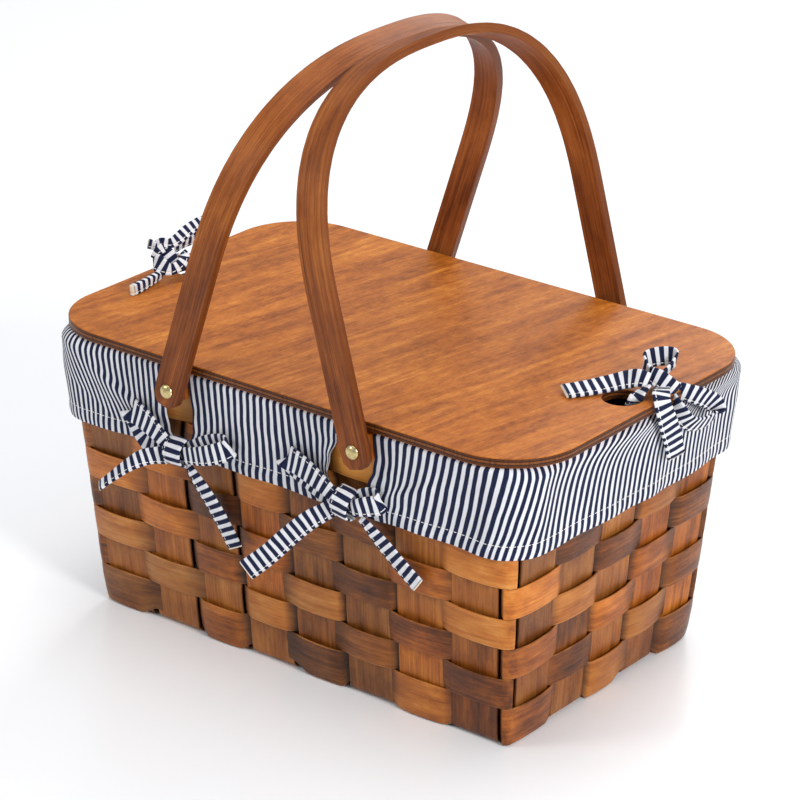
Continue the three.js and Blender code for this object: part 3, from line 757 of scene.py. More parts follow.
def bendStrip(strip, width, stations, shape, lengthUv, offsetUv):
    # each vertex goes from its straight place to the one that shape gives
    mesh = strip.data
    last = stations - 1
    uvLayer = mesh.uv_layers.active or mesh.uv_layers.new(name="UVMap")
    uvLayer.name = "UVMap"
    straight = []
    for v in mesh.vertices:
        across = edgeward(max(-1.0, min(1.0, v.co.y / (width / 2))))
        straight.append((v.co.x, across, v.co.z))
    for loop in mesh.loops:
        along, across, lift = straight[loop.vertex_index]
        uvLayer.data[loop.index].uv = (offsetUv + along * lengthUv, across * width / 2 + lift * liftGrain)
    for name in stripNotes:
        mesh.attributes.new(name, "FLOAT", "POINT")
    notes = {name: mesh.attributes[name].data for name in stripNotes}
    for v, (along, across, lift) in zip(mesh.vertices, straight):
        index = min(last, max(0, round(along * last)))
        place, values = shape(index, across, lift)
        v.co = place
        for name, value in zip(stripNotes, (*values, 1.0 if abs(across) > stripEdge else 0.0)):
            notes[name][v.index].value = value
    mesh.update()


# stakes: one splint up a wall, under the floor and up the other wall

stake = {
    "thickness": 0.0015, "step": 0.0042, "crossCuts": 4, "ease": 0.00035,
    # on the wall
    "topGap": 0.0004, "wallStep": 0.004, "sway": 0.00022,
    # round the lower edge
    "bend": 0.0034, "bendIn": 0.001, "bendEase": 0.0005, "bendSteps": 8,
    # on the floor: its rise over a stake, how wide a stake counts, and where it settles
    "floorHigh": 0.0018, "crossing": 1.35, "floorEase": 0.006, "floorSamples": 90,
    "toneSpread": 0.5, "toneDrift": 0.9, "dullDrift": 0.8,
}


def stakeRoute(side, index):
    # points of the splint's middle in the plane across its wall: out, z
    half = stake["thickness"] / 2
    pitch = wall["rowPitch"]
    bendTop = stake["bend"] + half
    points = []
    z = wall["rimTop"] - stake["topGap"]
    while z > bendTop:
        row = int((z - wall["firstRow"]) // pitch)
        middle = wall["firstRow"] + pitch * (row + 0.5)
        push = math.cos((z - middle) / pitch * math.pi)
        sign = -1 if weaverIsOver(side, index, row) else 1
        points.append((outHalf(side, z) + sign * push * stake["sway"], z))
        z -= stake["wallStep"]
    foot = outHalf(side, half)
    reach = foot - stake["bend"] - stake["bendIn"]
    a = Vector((outHalf(side, bendTop), bendTop))
    b = Vector((foot - stake["bendEase"], half + stake["bendEase"]))
    c = Vector((reach, half))
    for step in range(1, stake["bendSteps"]):
        t = step / stake["bendSteps"]
        points.append(tuple(a * (1 - t) ** 2 + b * 2 * t * (1 - t) + c * t ** 2))
    back = [(-x, z) for x, z in points]
    # floor, over and under the crossing stakes
    cells = stakeCells((side + 1) % 4)
    edge = flatHalf(side + 1, half, weaveRadius)
    for step in range(stake["floorSamples"] + 1):
        place = mix(reach, -reach, step / stake["floorSamples"])
        level = 0.0
        total = 0.0
        for k, (middle, width) in enumerate(cells):
            near = max(0.0, 1 - abs(place - middle * edge) / (width * edge * stake["crossing"]))
            up = 0.0 if (index + k + side) % 2 == 0 else stake["floorHigh"]
            weight = smoothStep(near)
            level += weight * up
            total += weight
        level = level / total if total > 1e-6 else 0.0
        ease = smoothStep((reach - abs(place)) / stake["floorEase"])
        points.append((place, half + level * ease))
    return points + back[::-1]


def makeStake(side, index):
    name = ("stake_cross_%d" if side == 0 else "stake_long_%d") % (index + 1)
    middle, half = stakeCells(side)[index]
    route, tangents, length = evenly(stakeRoute(side, index), stake["step"])
    width = 2 * half * midHalf(side)
    strip = straightStrip(name + "_splint", width, stake["thickness"], len(route) - 2,
                          stake["crossCuts"])
    base = chance(index, side, 3) * 2 - 1
    dullness = chance(index, side, 11)

    def shape(at, across, lift):
        p = route[at]
        t = tangents[at]
        normal = Vector((-t.y, t.x))
        out, z = p.x + normal.x * lift, p.y + normal.y * lift
        onWall = abs(p.x) > 0.5 * outHalf(side, 0)
        along = (middle + across * half) * flatHalf(side, max(0.0, p.y) if onWall else 0.0, weaveRadius)
        tone = stake["toneSpread"] * base + stake["toneDrift"] * wander(at * 0.13, index * 3.1, side * 5.0)
        dull = dullness + stake["dullDrift"] * wander(at * 0.09, index * 1.3, side * 2.0)
        dull = min(1.0, max(0.0, dull))
        return turned((along, -out, z), side), (tone, dull, 0.0)

    bendStrip(strip, width, len(route), shape, length, index * 1.7 + side * 23.0)
    easeEdges(strip, stake["ease"])
    smoothShade(strip)
    fitIn(strip, "basket", "stake splint", stakeFinish, name)


for side in (0, 1):
    for index in range(wall["stakeCounts"][side]):
        makeStake(side, index)
print("stakes woven through the floor")


# weavers: one splint round the basket for each row

weaver = {
    "thickness": 0.0012, "gap": 0.0004, "rows": 8, "crossCuts": 4, "ease": 0.0003,
    # out from the wall over a stake and behind one, with the arch of the part that is over it
    "step": 0.00165, "sunk": 0.0021, "bulge": 0.0023, "archPower": 2.6, "lean": 0.0012, "curl": 0.0003,
    # the lowest row goes down over the floor's edge, away from the stakes' edges
    "footDip": 0.0061, "footTuck": 0.0013, "dipOver": 0.05,
    # how far the parts over a stake and behind one go into the gaps, as shares of a gap
    "overReach": 0.60, "underReach": 0.08,
    # where the strip comes out beside a corner stake
    "beside": 0.0003, "besideLift": 0.7,
    # the top row's tone is raised as painted light, so that it looks lit where it shows in the notches
    "topRowPaintedLight": 1.9, "toneSpread": 0.95, "toneDrift": 0.5, "ringDrift": 0.3,
    # painted shade towards the ends of a part over a stake, where it tucks under the next stake
    "tuckShade": 0.35, "tuckShadeFrom": (0.82, 0.18),
    "overSamples": 14, "underSamples": 5, "cornerSamples": 9,
}
# share is a place on a side or a corner, notes are tone, dull and the painted shade of recesses
Station = namedtuple("Station", "side kind share offset dip notes tilt")


def weaverStations(row):
    stations = []
    for side in range(4):
        cells = stakeCells(side)
        spare = wall["stakeGap"] / midHalf(side)
        for index, (middle, half) in enumerate(cells):
            number = cellNumber(side, index)
            tone = ((chance(row, number, 7) * 2 - 1) * weaver["toneSpread"]
                    + weaver["toneDrift"] * wander(row * 2.7, number * 0.35))
            # painted light: the top row is made lighter
            if row == weaver["rows"] - 1:
                tone += weaver["topRowPaintedLight"]
            dull = chance(row, number, 13)
            if weaverIsOver(side, index, row):
                rise = weaver["bulge"] * (0.75 + 0.5 * chance(row, number, 1))
                tilt = (chance(row, number, 2) - 0.35) * weaver["lean"]
                peak = 0.35 * (chance(row, number, 5) - 0.5)
                for n in range(weaver["overSamples"]):
                    t = -1 + 2 * n / (weaver["overSamples"] - 1)
                    arch = max(0.0, 1 - abs(t - peak * (1 - t * t)) ** weaver["archPower"])
                    dip = smoothStep((1 - abs(t)) / weaver["dipOver"])
                    # painted shade grows towards the ends, where the strip tucks under a stake
                    tuckShade = weaver["tuckShade"] * fadeIn(abs(t), *weaver["tuckShadeFrom"])
                    if (index == 0 and t < 0) or (index == len(cells) - 1 and t > 0):
                        dip, tuckShade = 1.0, 0.0
                    share = max(-1.0, min(1.0, middle + (half + weaver["overReach"] * spare) * t))
                    stations.append(Station(side, "flat", share, weaver["step"] + rise * arch, dip,
                                            (tone, dull, tuckShade), tilt * arch))
            else:
                # behind a stake the strip gets full painted shade
                for n in range(weaver["underSamples"]):
                    t = -1 + 2 * n / (weaver["underSamples"] - 1)
                    share = middle + (half + weaver["underReach"] * spare) * t
                    stations.append(Station(side, "flat", share, -weaver["sunk"], 0.0,
                                            (tone, dull, 1.0), 0.0))
        # the strip is outside all round the corner, and comes out close beside a stake that it is behind
        following = (side + 1) % 4
        beside = weaver["beside"] / midHalf(side)
        lift = weaver["besideLift"] * weaver["step"]
        if not weaverIsOver(side, len(cells) - 1, row):
            stations.append(Station(side, "flat", 1 - beside, lift, 1.0, None, 0.0))
        for n in range(weaver["cornerSamples"]):
            t = (n + 0.5) / weaver["cornerSamples"]
            stations.append(Station(side, "corner", t, weaver["step"], 1.0, None, 0.0))
        if not weaverIsOver(following, 0, row):
            stations.append(Station(following, "flat", beside - 1, lift, 1.0, None, 0.0))
    # start behind a stake on the back, so that the ends don't show
    hidden = [k for k, s in enumerate(stations) if s.side == 2 and s.kind == "flat" and s.offset < 0]
    begin = hidden[len(hidden) // 2]
    order = stations[begin:] + stations[:begin + 1]
    # a corner has the look of the part that is outside beside it
    filled = []
    for k, s in enumerate(order):
        if s.notes is None:
            before = next(q for q in reversed(order[:k]) if q.notes)
            after = next(q for q in order[k:] if q.notes)
            s = s._replace(notes=(before if before.offset > 0 else after).notes[:2] + (0.0,))
        filled.append(s)
    return filled


def makeWeaver(row):
    name = "weaver_row_%d" % (row + 1)
    stations = weaverStations(row)
    bottom = wall["firstRow"] + row * wall["rowPitch"] + weaver["gap"] / 2
    top = bottom + wall["rowPitch"] - weaver["gap"]
    width = top - bottom
    z = (bottom + top) / 2
    length = waysAlong([wallPoint(s.side, s.kind, s.share, z, s.offset, weaveRadius) for s in stations])[-1]
    strip = straightStrip(name + "_splint", width, weaver["thickness"], len(stations) - 2,
                          weaver["crossCuts"])

    def shape(at, across, lift):
        s = stations[at]
        low = bottom
        out = s.offset + s.tilt * across + lift
        if row == 0:
            low -= weaver["footDip"] * s.dip
            out -= weaver["footTuck"] * s.dip * max(0.0, -across)
        # the strip's edges lie a little closer to the wall than its middle
        out -= weaver["curl"] * across * across
        z = mix(low, top, (across + 1) / 2)
        tone, dull, recessShade = s.notes
        tone += weaver["ringDrift"] * wander(at * 0.08, row * 4.0, 2.0)
        return wallPoint(s.side, s.kind, s.share, z, out, weaveRadius), (tone, dull, recessShade)

    bendStrip(strip, width, len(stations), shape, length, row * 3.3 + 51.0)
    easeEdges(strip, weaver["ease"])
    smoothShade(strip, 50)
    fitIn(strip, "basket", "weaver splint", weaverFinish, name)


for row in range(weaver["rows"]):
    makeWeaver(row)
print("weavers woven")


# rim bands and burrs keep their CAD shapes

for name in ("rim_outer_band", "rim_inner_band"):
    setFinish(nodes[name], rimFinish)
for name in nodes:
    if name.startswith("rivet_burr"):
        setFinish(nodes[name], brassFinish)


post = {"ease": 0.0011, "weld": 0.00002, "flatWithin": 2}
corners = [(end, side) for end in ("front", "back") for side in ("left", "right")]


def makePost(end, side):
    # a merged copy of the CAD block with its hard edges eased
    name = "post_%s_%s" % (end, side)
    pickOnly(nodes[name])
    bpy.ops.object.duplicate()
    block = bpy.context.object
    block.name = name + "_block"
    block.parent = None
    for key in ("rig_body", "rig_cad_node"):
        if key in block:
            del block[key]
    editAll(block, bpy.ops.mesh.remove_doubles, threshold=post["weld"])
    editAll(block, bpy.ops.mesh.dissolve_limited, angle_limit=math.radians(post["flatWithin"]))
    easeEdges(block, post["ease"], 3, 30)
    smoothShade(block)
    fitIn(block, "basket", "handle wood", postFinish, name)


for end, side in corners:
    makePost(end, side)


# rivets: a domed head on a shank

rivet = {
    "headRadius": 0.005, "dome": 0.0026, "segments": 32, "rings": 20,
    "shank": 0.0025, "shankSides": 24, "ease": 0.0004,
}


def makeRivet(end, side):
    name = "rivet_%s_%s" % (end, side)
    low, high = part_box(name)
    middle = (low + high) / 2
    sign = -1 if end == "front" else 1
    outer, inner = (low.y, high.y) if end == "front" else (high.y, low.y)
    seat = outer - sign * rivet["dome"]
    deselectAll()
    bpy.ops.mesh.primitive_uv_sphere_add(segments=rivet["segments"], ring_count=rivet["rings"],
                                         radius=rivet["headRadius"],
                                         location=(middle.x, seat, middle.z),
                                         rotation=(math.pi / 2 * -sign, 0, 0))
    head = bpy.context.object
    head.name = name + "_brass"
    head.scale = (1, 1, rivet["dome"] / rivet["headRadius"])
    placeApplied(head)
    editAll(head, bpy.ops.mesh.bisect, plane_co=(middle.x, seat, middle.z), plane_no=(0, sign, 0),
            use_fill=True, clear_inner=True)
    deselectAll()
    bpy.ops.mesh.primitive_cylinder_add(vertices=rivet["shankSides"], radius=rivet["shank"],
                                        depth=abs(seat - inner),
                                        location=(middle.x, (seat + inner) / 2, middle.z),
                                        rotation=(math.pi / 2, 0, 0))
    shank = bpy.context.object
    placeApplied(shank)
    head.select_set(True)
    bpy.context.view_layer.objects.active = head
    bpy.ops.object.join()
    easeEdges(head, rivet["ease"], 2, 50)
    smoothShade(head, 45)
    fitIn(head, "basket", "rivet brass", brassFinish, name)


for end, side in corners:
    makeRivet(end, side)
print("posts and rivets done")


# handles: one bent strip each

handle = {
    "width": 0.020, "thickness": 0.0065, "outside": 0.1440, "reach": 0.2298,
    "straight": 0.095, "power": 2.54, "foot": 0.0115, "clip": 0.0052,
    "lean": {"left": 17.72, "right": -15.61}, "grainFrom": {"left": 7.0, "right": 19.0},
    "legStep": 0.005, "archSteps": 240, "step": 0.0045, "crossCuts": 5, "ease": 0.0011,
    # painted light: the arch is made lighter than the legs, as if lit from above, from this height, over this
    # way
    "light": (0.05, 0.09),
}


def handleRoute():
    half = handle["outside"] - handle["thickness"] / 2
    top = handle["reach"] - handle["thickness"] / 2
    points = [(half, -handle["foot"]), (half, -handle["foot"] + handle["clip"])]
    height = 0.0
    while height < handle["straight"]:
        points.append((half, height))
        height += handle["legStep"]
    power = 2 / handle["power"]
    for step in range(handle["archSteps"] + 1):
        angle = math.pi * step / handle["archSteps"]
        c = math.cos(angle)
        s = math.sin(angle)
        points.append((half * math.copysign(abs(c) ** power, c),
                       handle["straight"] + (top - handle["straight"]) * abs(s) ** power))
    mirrored = [(-x, z) for x, z in points if z < handle["straight"] - 1e-6]
    return points + mirrored[::-1]


def makeHandle(side):
    name = "handle_" + side
    joint = [j for j in frame["joints"] if j["child"] == name][0]
    pivot = Vector(joint["pos_m"])
    lean = math.radians(handle["lean"][side])
    route, tangents, length = evenly(handleRoute(), handle["step"])
    strip = straightStrip(name + "_strip", handle["width"], handle["thickness"], len(route) - 2,
                          handle["crossCuts"])

    def shape(at, across, lift):
        p = route[at]
        t = tangents[at]
        normal = Vector((t.y, -t.x))
        toEnd = min(at, len(route) - 1 - at) * length / (len(route) - 1)
        half = handle["width"] / 2 - max(0.0, handle["clip"] - toEnd)
        y = p.x + normal.x * lift
        h = p.y + normal.y * lift
        x = across * half
        place = Vector((pivot.x + x * math.cos(lean) + h * math.sin(lean), y,
                        pivot.z - x * math.sin(lean) + h * math.cos(lean)))
        # painted light: the tone rises from the legs up into the arch
        tone = fadeIn(p.y, *handle["light"])
        return place, (tone, 0.0, 0.0)

    bendStrip(strip, handle["width"], len(route), shape, length, handle["grainFrom"][side])
    easeEdges(strip, handle["ease"], 3, 50)
    smoothShade(strip, 45)
    fitIn(strip, name, "handle wood", handleFinish, name)


for side in ("left", "right"):
    makeHandle(side)
print("handles bent")


# lid: a board with rounded corners and two finger holes

board = {"corner": 0.050, "hole": 0.013, "holeInset": 0.022, "ease": 0.0009, "segments": 28,
         "holeSides": 48}


def makeLid():
    low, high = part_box("lid")
    middle = (low + high) / 2
    size = high - low
    deselectAll()
    bpy.ops.mesh.primitive_plane_add(size=1, location=(middle.x, middle.y, low.z))
    lid = bpy.context.object
    lid.name = "lid_board"
    lid.scale = (size.x, size.y, 1)
    placeApplied(lid)
    editAll(lid, bpy.ops.mesh.bevel, offset=board["corner"], segments=board["segments"], affect="VERTICES")
    editAll(lid, bpy.ops.mesh.extrude_region_move, TRANSFORM_OT_translate={"value": (0, 0, size.z)})
    editAll(lid, bpy.ops.mesh.normals_make_consistent, inside=False)
    for sign in (-1, 1):
        deselectAll()
        holeX = middle.x + sign * (size.x / 2 - board["holeInset"])
        bpy.ops.mesh.primitive_cylinder_add(vertices=board["holeSides"], radius=board["hole"],
                                            depth=size.z * 4,
                                            location=(holeX, middle.y, middle.z))
        drill = bpy.context.object
        placeApplied(drill)
        applyModifier(lid, "BOOLEAN", object=drill, operation="DIFFERENCE", solver="EXACT")
        bpy.data.objects.remove(drill)
    easeEdges(lid, board["ease"], 3, 50)
    smoothShade(lid)
    applyModifier(lid, "WEIGHTED_NORMAL", keep_sharp=True, weight=100)
    fitIn(lid, "lid", "lid plywood", lidFinish, "lid")


makeLid()
print("lid cut and eased")


# cloth sheets are grids whose points are placed by a shape

def clothGrid(name, columns, rows, place, uvAt):
    deselectAll()
    bpy.ops.mesh.primitive_grid_add(x_subdivisions=columns, y_subdivisions=rows, size=1)
    sheet = bpy.context.object
    sheet.name = name
    mesh = sheet.data
    uvLayer = mesh.uv_layers.active or mesh.uv_layers.new(name="UVMap")
    uvLayer.name = "UVMap"
    spots = []
    for v in mesh.vertices:
        spots.append((round((v.co.x + 0.5) * columns), round((v.co.y + 0.5) * rows)))
    for face in mesh.polygons:
        faceColumn = min(spots[k][0] for k in face.vertices)
        for loop in face.loop_indices:
            column, row = spots[mesh.loops[loop].vertex_index]
            uvLayer.data[loop].uv = uvAt(column, row, faceColumn)
    mesh.attributes.new("raw", "FLOAT", "POINT")
    for v in mesh.vertices:
        v.co = place(*spots[v.index])
    mesh.update()
    return sheet


def thicken(sheet, thickness, levels=0):
    applyModifier(sheet, "SOLIDIFY", thickness=thickness, offset=0.0, use_even_offset=False)
    if levels:
        applyModifier(sheet, "SUBSURF", levels=levels, render_levels=levels)
    smoothShade(sheet, 70)


# the skirt's four panels, turned down over the rim and notched at the handles

skirt = {
    "thickness": 0.0010, "rimInside": -0.0056, "lip": 0.0006, "top": 0.2015, "offset": 0.00785,
    "roundOver": 0.0032, "roundSteps": 8, "hem": 0.1400, "drawIn": 0.0012,
    "columnStep": 0.0020, "rowStep": 0.0018, "turnColumns": 14, "turnHeight": 0.18, "midHeight": 0.166,
    "seamJump": 0.0004, "seamGroove": 0.0006, "stripeShift": 0.003,
    # how far the top is dragged along each end, and from where and over what way that fades
    "drags": {"skirt_right": (0.054, 0.31, 0.12), "skirt_left": (0.018, 0.23, 0.09)},
    "dragFrom": (0.118, 0.085), "dragDepth": 0.0065,
}
# cloth for each length of rim: beside the notches, where it turns onto an end, and along the end
gathers = {
    "notch": 1.11, "left": 1.28, "turn": 1.4, "start": 1.08, "end": 1.46,
    "turnFrom": (0.4, 0.2), "startFrom": (-0.10, 0.03), "endFrom": (-0.02, 0.09),
}
# how far the cloth stands off the rim: turning onto an end, at its middle, turning off it, and after that
puff = {
    "on": 0.0034, "middle": 0.0085, "off": 0.0050, "after": 0.0030,
    "rise": (-0.100, 0.09), "fall": (0.05, 0.05), "afterFrom": (0.115, 0.05),
    "fromTop": 0.007, "lossBelow": 0.3,
}
# waves and ripples below the rim, the doubled hem with its puckers, and the threads' sway
folds = {
    "from": 0.006, "over": 0.020, "ripple": 0.0014, "wave": 0.0013, "waveLength": 0.047, "hemWave": 0.0008,
    "hemMiddle": 0.0048, "hemHalf": 0.0056, "hemThick": 0.0004, "pucker": 0.00018, "puckerLength": 0.0085,
    "sway": 0.0022, "fineSway": 0.0007, "swayOver": 0.02, "leanPower": 1.2, "closest": 0.0003,
}
leftPull = {"kink": 0.36, "soft": 0.0025, "most": 0.030, "fade": (0.095, 0.10)}
rightPull = {"lean": 0.0155, "over": 0.030, "fade": (0.105, 0.075), "power": 1.15}
# a crease's beginning and end, and its widths above and below
creaseShape = {"rise": 0.016, "fade": (0.55, 0.45), "steep": 0.0032, "soft": 0.0085}
pivots = {"left": -0.075976, "right": 0.075976}
knots = {"left": (-0.0785, 0.1440), "right": (0.0640, 0.1460)}
# how far each edge of a notch is from its rivet at some heights, from the rim to the knot
edgeOutlines = {
    ("left", -1): ((0.2015, 0.0172), (0.1860, 0.0170), (0.1690, 0.0158), (0.1560, 0.0128), (0.1490, 0.0086),
                   (0.1440, 0.0042), (0.1400, 0.0040)),
    ("left", 1): ((0.2015, 0.0056), (0.1860, 0.0058), (0.1720, 0.0070), (0.1600, 0.0074), (0.1510, 0.0056),
                  (0.1450, 0.0004), (0.1400, -0.0008)),
    ("right", -1): ((0.2015, 0.0230), (0.1880, 0.0250), (0.1740, 0.0310), (0.1620, 0.0332), (0.1530, 0.0310),
                    (0.1470, 0.0200), (0.1400, 0.0150)),
    ("right", 1): ((0.2015, 0.0054), (0.1860, 0.0056), (0.1740, 0.0030), (0.1640, -0.0010), (0.1540, -0.0060),
                   (0.1470, -0.0100), (0.1400, -0.0125)),
}
# how the cloth beside a notch is pulled to its knot, by notch and side of it:
# reach of the notch's own curve, lean of the threads at the hem, where and over what width
pulls = {
    ("left", -1): {"reach": 0.012},
    ("left", 1): {"reach": 0.026, "lean": 0.003, "leanAt": 0.020, "leanWidth": 0.020},
    ("right", -1): {"reach": 0.014, "lean": 0.010, "leanAt": 0.012, "leanWidth": 0.028},
    ("right", 1): {"reach": 0.012},
}
# creases that run out of a knot: degrees up from level, length, height
creases = {
    ("left", -1): ((28, 0.105, 0.0026), (7, 0.055, 0.0016), (50, 0.048, 0.0013)),
    ("left", 1): ((14, 0.060, 0.0014), (37, 0.042, 0.0018), (62, 0.046, 0.0013)),
    ("right", -1): ((20, 0.056, 0.0020), (43, 0.046, 0.0017), (64, 0.045, 0.0012)),
    ("right", 1): ((26, 0.085, 0.0026), (8, 0.052, 0.0015), (49, 0.052, 0.0018)),
}


def skirtSection():
    # from the bag's top edge over the rim and down to the hem: offset, z
    points = [(skirt["rimInside"], skirt["top"] - skirt["lip"]),
              (skirt["rimInside"] + skirt["lip"], skirt["top"])]
    round0 = skirt["offset"] - skirt["roundOver"]
    for step in range(skirt["roundSteps"] + 1):
        angle = math.pi / 2 * step / skirt["roundSteps"]
        points.append((round0 + skirt["roundOver"] * math.sin(angle),
                       skirt["top"] - skirt["roundOver"] * (1 - math.cos(angle))))
    points.append((skirt["offset"] - skirt["drawIn"], skirt["hem"]))
    return evenly(points, skirt["rowStep"])[0]


def edgeAt(notch, notchSide, z):
    outline = edgeOutlines[notch, notchSide]
    for (high, wide), (low, narrow) in zip(outline, outline[1:]):
        if z >= low:
            return mix(narrow, wide, fadeIn(z, low, high - low))
    return outline[-1][1]


def topEdge(notch, notchSide):
    return pivots[notch] + notchSide * edgeOutlines[notch, notchSide][0][1]


def bell(distance, width):
    return math.exp(-(distance / width) ** 2)


def creaseLift(dx, dz, lines):
    # dx outward from the knot along the side, dz up; a crease is steep above and soft below
    total = 0.0
    for degrees, length, height in lines:
        a = math.radians(degrees)
        along = dx * math.cos(a) + dz * math.sin(a)
        above = dz * math.cos(a) - dx * math.sin(a)
        fade = 1 - fadeIn(along / length, *creaseShape["fade"])
        fade *= smoothStep(along / creaseShape["rise"])
        total += height * fade * bell(above, creaseShape["steep" if above > 0 else "soft"])
    return total


def leftLean(fromEdge, z):
    # left of the left notch the threads hang straight to the long crease, then lean to the knot
    knotX, knotZ = knots["left"]
    slope = math.tan(math.radians(creases["left", -1][0][0]))
    below = knotZ + (knotX - topEdge("left", -1) + fromEdge) * slope - z
    below = 0.5 * (below + math.hypot(below, leftPull["soft"]))
    below = min(below, max(0.0, skirt["top"] - z), leftPull["most"])
    return leftPull["kink"] * below * (1 - fadeIn(fromEdge, *leftPull["fade"]))


def rightLean(fromEdge, low):
    # right of the right notch they lean to its knot, past the corner
    fade = 1 - fadeIn(fromEdge, *rightPull["fade"])
    return rightPull["lean"] * smoothStep(fromEdge / rightPull["over"]) * fade * low ** rightPull["power"]


def dragShift(fromEdge, z, drag):
    # at the ends the cloth's top is dragged sideways under the lid
    amount, fadeFrom, fadeOver = drag
    ramp = fadeIn(fromEdge, *skirt["dragFrom"]) * (1 - fadeIn(fromEdge, fadeFrom, fadeOver))
    return amount * ramp * math.exp(-max(0.0, skirt["top"] - z) / skirt["dragDepth"])


def rimPoint(side, kind, value, shift, z, out):
    # a place on the skirt, moved along the rim from a side round a corner or back
    arc = (cornerRadius(z) + skirt["offset"]) * math.pi / 2
    half = flatHalf(side, z)
    way = shift + (value * arc if kind == "corner" else value - half)
    if way > arc:
        return facePoint((side + 1) % 4, way - arc - flatHalf(side + 1, z), z, out)
    if way > 0:
        return cornerPoint(side, way / arc, z, out)
    if way > -2 * half:
        return facePoint(side, half + way, z, out)
    return cornerPoint((side - 1) % 4, 1 + (way + 2 * half) / arc, z, out)


section = skirtSection()


def endPuff(side, kind, value):
    # the cloth stands off the rim at the ends, most in the middle
    onLongSide = side % 2 == 0
    if kind == "corner":
        return puff["on"] * smoothStep(value) if onLongSide else mix(puff["off"], puff["after"], value)
    if onLongSide:
        return puff["after"] * fadeIn(-value, *puff["afterFrom"])
    stand = mix(puff["on"], puff["middle"], fadeIn(value, *puff["rise"]))
    return stand - (puff["middle"] - puff["off"]) * fadeIn(value, *puff["fall"])


# flat is the way round the rim, toNotch the way to the notch that the place is beside
RimStation = namedtuple("RimStation", "side kind value notch notchSide toNotch flat")


def skirtPlaces(stations, seamColumn, drag):
    total = stations[-1].flat

    def place(column, row):
        side, kind, value, notch, notchSide, toNotch, flat = stations[column]
        offset, z = section[row]
        depth = skirt["top"] - z
        drop = smoothStep((skirt["top"] - folds["from"] - z) / folds["over"])
        low = max(0.0, min(1.0, depth / (skirt["top"] - skirt["hem"])))
        stand = smoothStep(depth / puff["fromTop"]) * (1 - puff["lossBelow"] * low)
        out = offset + endPuff(side, kind, value) * stand
        if drop > 0:
            ripple = wander(flat * 22, z * 12, 3.0) + 0.5 * wander(flat * 55, z * 26, 8.0)
            out += drop * folds["ripple"] * ripple
            wave = math.sin(flat * 2 * math.pi / folds["waveLength"] + 1.3)
            out += low * low * folds["wave"] * (0.6 + 0.5 * wave)
            # the doubled hem is a little thicker and puckers at its stitches
            hemPuff = smoothStep(1 - abs(z - skirt["hem"] - folds["hemMiddle"]) / folds["hemHalf"])
            pucker = math.sin(flat * 2 * math.pi / folds["puckerLength"])
            out += hemPuff * (folds["hemThick"] + folds["pucker"] * pucker)
        if seamColumn is not None and abs(column - seamColumn) <= 1:
            out -= drop * skirt["seamGroove"] * (1 - 0.5 * abs(column - seamColumn))
        height = z + folds["hemWave"] * low * low * wander(flat * 19, 2.0, 6.0)
        shift = folds["sway"] * wander(flat * 17, z * 16, 5.0)
        shift += folds["fineSway"] * wander(flat * 60, z * 70, 1.0)
        shift *= low * smoothStep(toNotch / folds["swayOver"])
        if drag:
            shift += dragShift(flat, z, drag)
        if notch:
            pull = pulls[notch, notchSide]
            near = math.exp(-toNotch / pull["reach"])
            if (notch, notchSide) == ("left", -1):
                lean = leftLean(toNotch, z)
            elif (notch, notchSide) == ("right", 1):
                lean = rightLean(toNotch, low)
            else:
                lean = pull["lean"] * bell(toNotch - pull["leanAt"], pull["leanWidth"])
                lean *= low ** folds["leanPower"]
            atTop = edgeOutlines[notch, notchSide][0][1]
            shift -= notchSide * (near * (atTop - edgeAt(notch, notchSide, z)) + (1 - near) * lean)
            knotX, knotZ = knots[notch]
            fromKnot = notchSide * (value + shift - knotX)
            out += drop * creaseLift(fromKnot, z - knotZ, creases[notch, notchSide])
        else:
            shift += leftLean(total - flat, z) - rightLean(flat, low)
        return rimPoint(side, kind, value, shift, height, max(out, offset - folds["closest"]))

    return place


def gatherAt(station):
    # how much cloth is gathered into a part of the rim
    beside = (station.notch, station.notchSide)
    value = station.value
    if beside == ("left", -1):
        return gathers["left"]
    if beside == ("right", 1):
        return 1.0
    if station.notch:
        return gathers["notch"]
    if station.kind == "corner":
        if station.side % 2 == 0:
            return mix(1.0, gathers["turn"], fadeIn(value, *gathers["turnFrom"]))
        return gathers["end"]
    start = mix(gathers["turn"], gathers["start"], fadeIn(value, *gathers["startFrom"]))
    return mix(start, gathers["end"], fadeIn(value, *gathers["endFrom"]))


def flatStations(side, start, end, notches, flatStart):
    # even columns on one side between two places, in metres along it
    count = max(2, round(abs(end - start) / skirt["columnStep"]))
    out = []
    for n in range(count + 1):
        x = mix(start, end, n / count)
        notch, notchSide, toNotch = None, 0, 1.0
        if notches:
            notch = min(notches, key=lambda name: abs(pivots[name] - x))
            notchSide = 1 if x > pivots[notch] else -1
            toNotch = max(0.0, abs(x - topEdge(notch, notchSide)))
        out.append(RimStation(side, "flat", x, notch, notchSide, toNotch, flatStart + abs(x - start)))
    return out


def cornerStations(side, flatStart):
    length = (cornerRadius(skirt["turnHeight"]) + skirt["offset"]) * math.pi / 2
    count = skirt["turnColumns"]
    return [RimStation(side, "corner", n / count, None, 0, 1.0, flatStart + length * n / count)
            for n in range(1, count)], length


